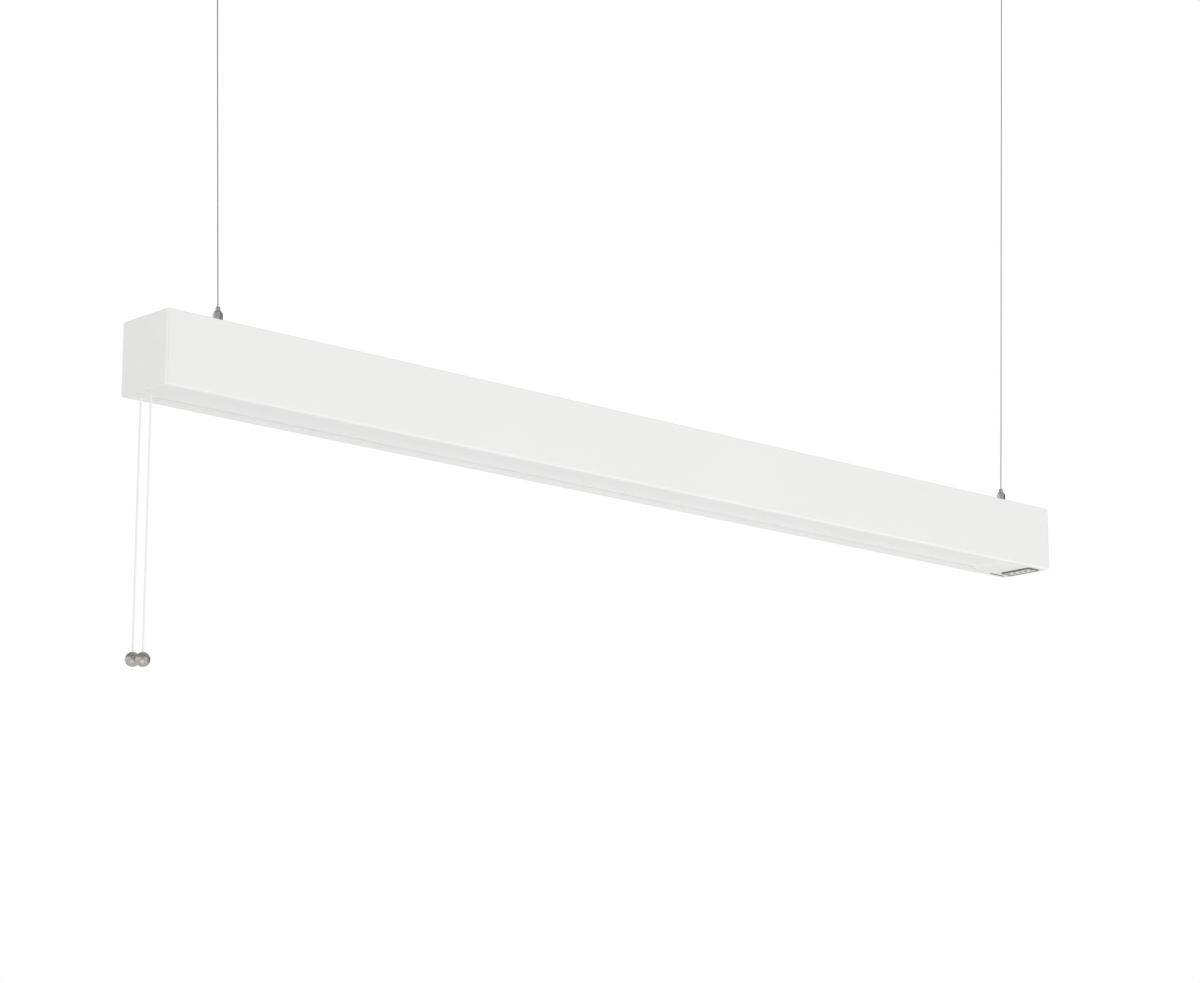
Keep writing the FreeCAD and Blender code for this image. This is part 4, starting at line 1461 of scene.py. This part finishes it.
# ---------------------------------------------------------------- power inlet
@dataclass
class PowerInlet:
    """Five-pole inlet: dark proud surround, pale insert, tinned contact sleeves and dark collars
    that paint the shade in the pole mouths.
    """

    corner: float = 1.1 * MM
    inner_corner: float = 0.4 * MM
    edge: float = 0.2 * MM
    wall: float = 1.4 * MM
    thin_wall: float = 0.5 * MM
    poles: int = 5
    pole_pitch: float = 7.95 * MM
    pole_radius: float = 1.9 * MM
    pole_rim: float = 0.45 * MM
    pole_depth: float = 9.0 * MM
    sleeve_bore: float = 1.2 * MM
    collar_bore: float = 1.5 * MM
    collar_depth: float = 2.9 * MM

    def pole_places(self) -> list[Axis]:
        """The poles' axes in X and Y.

        Returns:
            The axes, from the near lip to the far one.
        """
        low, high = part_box("inlet_body")
        middle = (low + high) / 2
        return [(middle.x, middle.y + (i - (self.poles - 1) / 2) * self.pole_pitch)
                for i in range(self.poles)]

    def loop(self, low: Vector, high: Vector, inset: float, radius: float,
             z: float) -> list[Vector]:
        """A rounded rectangle at one height.

        Args:
            low: lowest corner of the outside.
            high: highest corner of the outside.
            inset: how far the loop lies inside it.
            radius: radius of its corners.
            z: its height.

        Returns:
            The loop's points.
        """
        x0, x1, y0, y1 = low.x + inset, high.x - inset, low.y + inset, high.y - inset
        corners = [(x0, y0), (x1, y0), (x1, y1), (x0, y1)]
        return [Vector((x, y, z)) for x, y in rounded(corners, {i: radius for i in range(4)}, 5)]

    def room(self) -> tuple[Vector, Vector]:
        """Lowest and highest corner inside the surround, whose two far walls are thin.

        Returns:
            The two corners.
        """
        low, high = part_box("inlet_frame")
        return (Vector((low.x + self.wall, low.y + self.wall, low.z)),
                Vector((high.x - self.thin_wall, high.y - self.thin_wall, high.z)))

    def build_surround(self) -> Piece:
        """Ring with rounded corners and rounded face edges.

        Returns:
            The ring.
        """
        low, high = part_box("inlet_frame")
        room_low, room_high = self.room()
        inner = self.inner_corner
        loops = [self.loop(low, high, 0.0, self.corner, high.z)]
        for k in range(4):
            angle = math.pi / 2 * k / 3
            loops.append(self.loop(low, high, self.edge * (1 - math.cos(angle)), self.corner,
                                   low.z + self.edge * (1 - math.sin(angle))))
        for k in range(4):
            angle = math.pi / 2 * k / 3
            loops.append(self.loop(room_low, room_high, -self.edge * (1 - math.sin(angle)), inner,
                                   low.z + self.edge * (1 - math.cos(angle))))
        loops.append(self.loop(room_low, room_high, 0.0, inner, high.z))
        return dress(lofted("inlet_surround", loops, endless=True), "inlet_frame")

    def build_insert(self) -> Piece:
        """Insert with five countersunk pole holes.

        Returns:
            The insert.
        """
        low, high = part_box("inlet_body")
        _, room = self.room()
        high = Vector((room.x, room.y, high.z))
        steps = ((0.0, high.z), (0.0, low.z + 0.25 * MM), (0.08 * MM, low.z + 0.07 * MM),
                 (0.25 * MM, low.z))
        insert = lofted("inlet_insert", [self.loop(low, high, inset, self.inner_corner, z)
                                         for inset, z in steps])
        rim, floor = self.pole_radius + self.pole_rim, low.z + self.pole_depth
        cutter = bmesh.new()
        for place in self.pole_places():
            add_turned(cutter, [(0.0, low.z - 1 * MM), (rim + 1 * MM, low.z - 1 * MM), (rim, low.z),
                                (self.pole_radius, low.z + self.pole_rim),
                                (self.pole_radius, floor), (0.0, floor)], place, 32)
        carved(insert, from_bmesh("pole_cutter", cutter), "DIFFERENCE")
        return dress(insert, "inlet_body")

    def at_poles(self, tree: Tree, part: bpy.types.Node, z: float) -> bpy.types.Node:
        """Repeat a shape at every pole.

        Args:
            tree: the tree that it is in.
            part: the shape's node.
            z: its height.

        Returns:
            The node of the repeated shape.
        """
        x, y = self.pole_places()[0]
        line = tree.add("MeshLine", Count=tree.size("Poles", self.poles),
                        Start_Location=tree.vector(x, y, z),
                        Offset=tree.vector(0.0, tree.size("Pitch", self.pole_pitch)))
        return tree.add("InstanceOnPoints", Points=line, Instance=part)

    def build_shade_collars(self) -> Piece:
        """Dark collars that line the mouths of the poles as painted shade in the holes, one shape
        repeated along a line.

        Returns:
            The collars.
        """
        low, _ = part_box("inlet_body")
        tree = Tree("pole_shade_collars")
        outer = self.pole_radius - 0.02 * MM
        wall = outer - self.collar_bore
        ring = tree.add("CurvePrimitiveCircle", Resolution=32,
                        Radius=tree.size("Collar radius", self.collar_bore + wall / 2))
        strip = tree.add("CurvePrimitiveQuadrilateral", Width=tree.size("Wall", wall),
                         Height=tree.size("Depth", self.collar_depth))
        tube = tree.add("CurveToMesh", Curve=ring, Profile_Curve=strip)
        flange = tree.add("CurvePrimitiveQuadrilateral", {"mode": "TRAPEZOID"},
                          Bottom_Width=wall + 2 * self.pole_rim, Top_Width=wall, Offset=0.0,
                          Height=self.pole_rim)
        rim = tree.add("CurveToMesh", Curve=ring, Profile_Curve=flange)
        lifted = tree.moved(tube, 0.0, 0.0, self.collar_depth / 2)
        placed = self.at_poles(tree, tree.union(lifted, rim), low.z + 0.05 * MM)
        # The dark finish of the collars is painted shade inside the pole holes.
        return dress(tree.finish(placed, "inlet_dark"), "inlet_body", slot="inlet_dark")

    def build_sleeves(self) -> Piece:
        """Contact sleeves in the poles, one shape repeated along a line.

        Returns:
            The sleeves.
        """
        low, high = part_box("inlet_contacts")
        wall = self.pole_radius - self.sleeve_bore
        tree = Tree("contact_sleeves")
        ring = tree.add("CurvePrimitiveCircle", Resolution=32,
                        Radius=tree.size("Mid radius", self.sleeve_bore + wall / 2))
        strip = tree.add("CurvePrimitiveQuadrilateral", Width=tree.size("Wall", wall * 0.94),
                         Height=tree.size("Length", high.z - low.z))
        soft = tree.add("FilletCurve", {"mode": "POLY"}, Curve=strip, Count=2,
                        Radius=tree.size("Edge", wall * 0.25))
        sleeve = tree.add("CurveToMesh", Curve=ring, Profile_Curve=soft)
        placed = self.at_poles(tree, sleeve, (low.z + high.z) / 2)
        return dress(tree.finish(placed, "contact_brass"), "inlet_contacts")

    def build(self) -> None:
        """Make all pieces of the inlet."""
        self.build_surround()
        self.build_insert()
        self.build_shade_collars()
        self.build_sleeves()


# ---------------------------------------------------------------- grippers and ceiling cups
@dataclass
class CoilSpring:
    """A coil with closed ends."""

    node: str
    joint: str
    place: Axis
    wire: float
    turns: float
    travel: float
    resolution: int = 28

    def build(self) -> Piece:
        """Wind the coil between the ends of its node.

        Returns:
            The coil.
        """
        low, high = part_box(self.node)
        radius = (high.x - low.x - self.wire) / 2
        free = high.z - low.z
        tree = Tree(f"{self.node}_coil")
        mid = tree.size("Coil radius", radius)
        thick = tree.add("CurvePrimitiveCircle", Resolution=12,
                         Radius=tree.size("Wire radius", self.wire / 2))
        spiral = tree.add("CurveSpiral", Resolution=self.resolution,
                          Rotations=tree.size("Turns", self.turns), Start_Radius=mid,
                          End_Radius=mid, Height=tree.size("Rise", free - self.wire))
        coil = tree.add("CurveToMesh", Curve=spiral, Profile_Curve=thick, Fill_Caps=True)
        ring = tree.add("CurvePrimitiveCircle", Resolution=self.resolution, Radius=mid)
        closed = tree.add("CurveToMesh", Curve=ring, Profile_Curve=thick)
        ends = tree.add("MeshLine", Count=2, Start_Location=tree.vector(),
                        Offset=tree.vector(0.0, 0.0, free - self.wire))
        rings = tree.add("InstanceOnPoints", Points=ends, Instance=closed)
        moved = tree.moved(tree.union(coil, rings), *self.place, low.z + self.wire / 2)
        piece = dress(tree.finish(moved, "spring_steel"), self.node)
        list(self.place)
        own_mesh(piece)
        return piece


@dataclass
class WireGripper:
    """Hexagonal gripper body with chamfered corners, and its release tip."""

    side: str
    flats: float = 8.2 * MM
    hex_height: float = 16.5 * MM
    cone_height: float = 2.0 * MM
    neck: float = 2.8 * MM
    mouth: float = 2.26 * MM
    room: float = 3.3 * MM
    seat: float = 3.05 * MM
    floor: float = 6.0 * MM
    room_height: float = 7.0 * MM
    chamfer: float = 0.42 * MM
    tip_bore: float = 1.0 * MM
    tip_radius: float = 2.2 * MM
    tip_point: float = 1.8 * MM
    tip_flange: float = 3.0 * MM
    tip_top: float = 22.2 * MM
    tip_cone: float = 1.5 * MM

    def build_body(self) -> Piece:
        """Turned blank with all bores, milled to a hexagon.

        Returns:
            The gripper's body.
        """
        across, top = self.flats / 2, self.hex_height + self.cone_height
        corner = across / math.cos(math.pi / 6)
        blank = [
            (self.seat, 0.0), (across, 0.0), (corner + 0.05 * MM, self.chamfer),
            (corner + 0.05 * MM, self.hex_height - self.chamfer), (across, self.hex_height),
            (self.neck, top), (self.mouth, top), (self.mouth, self.floor + self.room_height),
            (self.room, self.floor + self.room_height), (self.room, self.floor),
            (self.seat, self.floor),
        ]
        soft = rounded(blank, {5: 0.35 * MM, 6: 0.15 * MM}, 4)
        body = turned(f"gripper_shell_{self.side}", [(r, ROOF + z) for r, z in soft],
                      (GRIP_X[self.side], 0.0), 96)
        angles = [GRIP_TURN + math.tau * k / 6 for k in range(6)]
        hexagon = [(corner * math.cos(angle), corner * math.sin(angle)) for angle in angles]
        soft_hexagon = rounded(hexagon, {k: 0.35 * MM for k in range(6)}, 3)
        rings = [[Vector((GRIP_X[self.side] + x, y, z)) for x, y in soft_hexagon]
                 for z in (ROOF - 1 * MM, ROOF + top + 1 * MM)]
        carved(body, lofted("hexagon_mill", rings), "INTERSECT")
        return dress(body, f"gripper_body_{self.side}")

    def build_tip(self) -> Piece:
        """Turned release tip with a flange inside and a grip groove outside.

        Returns:
            The tip.
        """
        flange = self.floor + self.room_height - 0.3 * MM
        groove = self.tip_top - self.tip_cone - 0.7 * MM
        outline = [
            (self.tip_bore, flange - 1.5 * MM), (self.tip_flange, flange - 1.5 * MM),
            (self.tip_flange, flange), (self.tip_radius, flange),
            (self.tip_radius, groove - 0.25 * MM), (self.tip_radius - 0.18 * MM, groove - 0.1 * MM),
            (self.tip_radius - 0.18 * MM, groove + 0.1 * MM), (self.tip_radius, groove + 0.25 * MM),
            (self.tip_radius, self.tip_top - self.tip_cone), (self.tip_point, self.tip_top),
            (self.tip_bore, self.tip_top),
        ]
        radii = {1: 0.2 * MM, 2: 0.2 * MM, 8: 0.3 * MM, 9: 0.2 * MM, 10: 0.2 * MM}
        soft = rounded(outline, radii, 3)
        tip = turned(f"release_tip_piece_{self.side}", [(r, ROOF + z) for r, z in soft],
                     (GRIP_X[self.side], 0.0), 48)
        return dress(tip, f"gripper_tip_{self.side}")

    def build(self) -> None:
        """Make the body, the tip and the spring between them."""
        self.build_body()
        self.build_tip()
        CoilSpring(f"gripper_spring_{self.side}", f"tip_press_{self.side}",
                   (GRIP_X[self.side], 0.0), 0.55 * MM, 5.0, 2.0 * MM).build()
        for part, soft in (("gripper_nut", 0.3 * MM), ("gripper_stud", 0.25 * MM)):
            node = f"{part}_{self.side}"
            dress(softened(node, f"{part}_piece_{self.side}", soft), node)


@dataclass
class CeilingCup:
    """Turned cup over the ball end, with a fluted band to turn it by."""

    side: str
    radius: float = 11.0 * MM
    height: float = 24.0 * MM
    gap: float = 0.5 * MM
    base_radius: float = 9.55 * MM
    step: float = 5.4 * MM
    room: float = 8.0 * MM
    seat_floor: float = 18.0 * MM
    seat: float = 2.57 * MM
    throat: float = 1.9 * MM
    flare: float = 3.6 * MM
    band_low: float = 8.0 * MM
    band_high: float = 2.5 * MM
    band_depth: float = 0.3 * MM
    flutes: int = 60

    def build_cup(self) -> Piece:
        """Turn the cup with its ball seat and rounded foot.

        Returns:
            The cup.
        """
        lower, inner = -self.height, self.radius - self.band_depth
        skin = [
            (self.flare, lower), (self.radius, lower), (self.radius, -self.band_low - 0.4 * MM),
            (inner, -self.band_low), (inner, -self.band_high),
            (self.radius, -self.band_high + 0.4 * MM), (self.radius, -self.gap),
            (self.base_radius, -self.gap), (self.base_radius, -self.step), (self.room, -self.step),
            (self.room, -self.seat_floor), (self.seat, -self.seat_floor), (self.seat, PIVOT_Z),
        ]
        first = math.asin(self.throat / self.seat)
        for k in range(1, 7):
            angle = math.pi / 2 - (math.pi / 2 - first) * k / 6
            skin.append((self.seat * math.sin(angle), PIVOT_Z - self.seat * math.cos(angle)))
        radii = {0: 0.5 * MM, 1: 2.2 * MM, 6: 0.3 * MM, 7: 0.2 * MM, len(skin) - 1: 0.15 * MM}
        soft = rounded(skin, radii, 6)
        cup = turned(f"cup_piece_{self.side}", soft, (PIVOT_X[self.side], 0.0), 96)
        return dress(cup, f"ceiling_cup_{self.side}")

    def build_flutes(self) -> Piece:
        """Small upright beads round the band.

        Returns:
            The beads.
        """
        bead = self.band_depth
        tree = Tree(f"cup_flutes_{self.side}")
        ring = tree.add("MeshCircle", Vertices=tree.size("Flutes", self.flutes),
                        Radius=tree.size("Ring radius", self.radius - bead))
        half = (self.band_low - self.band_high) / 2 - bead
        line = tree.add("CurvePrimitiveLine", Start=tree.vector(z=-half),
                        End=tree.vector(z=tree.size("Half height", half)))
        thick = tree.add("CurvePrimitiveCircle", Resolution=10,
                         Radius=tree.size("Bead radius", bead))
        rod = tree.add("CurveToMesh", Curve=line, Profile_Curve=thick, Fill_Caps=True)
        placed = tree.add("InstanceOnPoints", Points=ring, Instance=rod)
        middle = -(self.band_low + self.band_high) / 2
        moved = tree.moved(placed, PIVOT_X[self.side], 0.0, middle)
        return dress(tree.finish(moved, "cup_nickel"), f"ceiling_cup_{self.side}")

    def build(self) -> None:
        """Make the cup, its flutes and the base inside it."""
        self.build_cup()
        self.build_flutes()
        base = f"ceiling_base_{self.side}"
        dress(softened(base, f"{base}_piece", 0.3 * MM), base)


# ---------------------------------------------------------------- inside the housing
@dataclass
class LightBoards:
    """Light chips on the four boards: a moulded frame with a phosphor lens in each."""

    boards: int = 4
    board_pitch: float = 285.0 * MM
    board_length: float = 270.0 * MM
    per_row: int = 14
    margin: float = 12.0 * MM
    row: float = 9.0 * MM
    length: float = 3.5 * MM
    width: float = 2.8 * MM
    wall: float = 0.7 * MM

    def places(self, tree: Tree) -> Socket:
        """Points for every chip of every board.

        Args:
            tree: the tree that they are in.

        Returns:
            The points.
        """
        low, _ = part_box("led_board_1")
        _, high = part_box("led_chips")
        run = self.board_length - 2 * self.margin - self.length
        rows = tree.add("MeshGrid", Size_X=tree.size("Row length", run),
                        Size_Y=tree.size("Row gap", 2 * self.row),
                        Vertices_X=tree.size("Chips per row", self.per_row), Vertices_Y=2)
        start = tree.vector(low.x + self.board_length / 2, 0.0, high.z)
        line = tree.add("MeshLine", Count=tree.size("Boards", self.boards), Start_Location=start,
                        Offset=tree.vector(tree.size("Board pitch", self.board_pitch)))
        spread = tree.add("InstanceOnPoints", Points=line, Instance=rows)
        return tree.add("RealizeInstances", Geometry=spread).outputs[0]

    def build_frames(self) -> Piece:
        """Chip frames with a well on their lower face.

        Returns:
            All frames.
        """
        tree = Tree("chip_frames")
        size = tree.vector(tree.size("Length", self.length), tree.size("Width", self.width),
                           tree.size("Wall", self.wall))
        block = tree.add("MeshCube", Size=size)
        axes = tree.add("ShaderNodeSeparateXYZ", Vector=tree.add("InputNormal"))
        down = tree.add("FunctionNodeCompare", {"data_type": "FLOAT", "operation": "LESS_THAN"},
                        A=axes.outputs[2], B=-0.5)
        faces = {"mode": "FACES"}
        rim = tree.add("ExtrudeMesh", faces, Mesh=block, Selection=down, Offset_Scale=0.0)
        shrunk = tree.add("ScaleElements", Geometry=rim, Selection=rim.outputs[1],
                          Scale=tree.size("Well share", 0.78))
        well = tree.add("ExtrudeMesh", faces, Mesh=shrunk, Selection=rim.outputs[1],
                        Offset_Scale=-0.25 * MM)
        lowered = tree.moved(well, 0.0, 0.0, -self.wall / 2)
        placed = tree.add("InstanceOnPoints", Points=self.places(tree), Instance=lowered)
        return dress(tree.finish(placed, "board_white"), "led_chips", slot="board_white")

    def build_lenses(self) -> Piece:
        """Low phosphor domes in the wells.

        Returns:
            All lenses.
        """
        tree = Tree("chip_lenses")
        dome = tree.add("MeshUVSphere", Segments=16, Rings=8,
                        Radius=tree.size("Lens radius", 1.0 * MM))
        flat = tree.add("Transform", Geometry=dome, Scale=tree.vector(1.3, 1.02, 0.2),
                        Translation=tree.vector(0.0, 0.0, -self.wall + 0.22 * MM))
        placed = tree.add("InstanceOnPoints", Points=self.places(tree), Instance=flat)
        return dress(tree.finish(placed, "chip_yellow"), "led_chips")

    def build(self) -> None:
        """Make frames and lenses."""
        self.build_frames()
        self.build_lenses()


class Inside:
    """Pieces inside the housing whose shape comes from the CAD, with softened edges."""

    SOFT = {"terminal_block": 0.6 * MM, "led_driver_1": 0.5 * MM, "led_driver_2": 0.5 * MM,
            "switch_body_1": 0.4 * MM, "switch_body_2": 0.4 * MM, "lead_clips": 0.3 * MM}

    def build(self) -> None:
        """Soften what needs it and paint every node with its slot's finish."""
        for node, thing in frame["nodes"].items():
            thing.data.materials.clear()
            thing.data.materials.append(FINISHES[RECORD.slots[node]].material())
        for node, width in self.SOFT.items():
            dress(softened(node, f"{node}_piece", width), node)
        LightBoards().build()


def main() -> None:
    """Build the studio, then each sub-assembly."""
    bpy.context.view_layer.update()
    Studio().build()
    cords = [PullCord(1, 11.5 * MM, 236.5 * MM), PullCord(2, -4.0 * MM, 238.5 * MM)]
    for cord in cords:
        cord.build()
        CoilSpring(f"switch_spring_{cord.number}", f"cord_pull_{cord.number}", (cord.x, cord.y),
                   0.65 * MM, 7.0, 8.0 * MM).build()
    for side in SIDES:
        SuspensionWire(side).build()
        WireGripper(side).build()
        CeilingCup(side).build()
        EndCap(side).build()
    Housing().build()
    Underside().build(cords)
    PowerInlet().build()
    Inside().build()


if __name__ == "__main__":
    main()
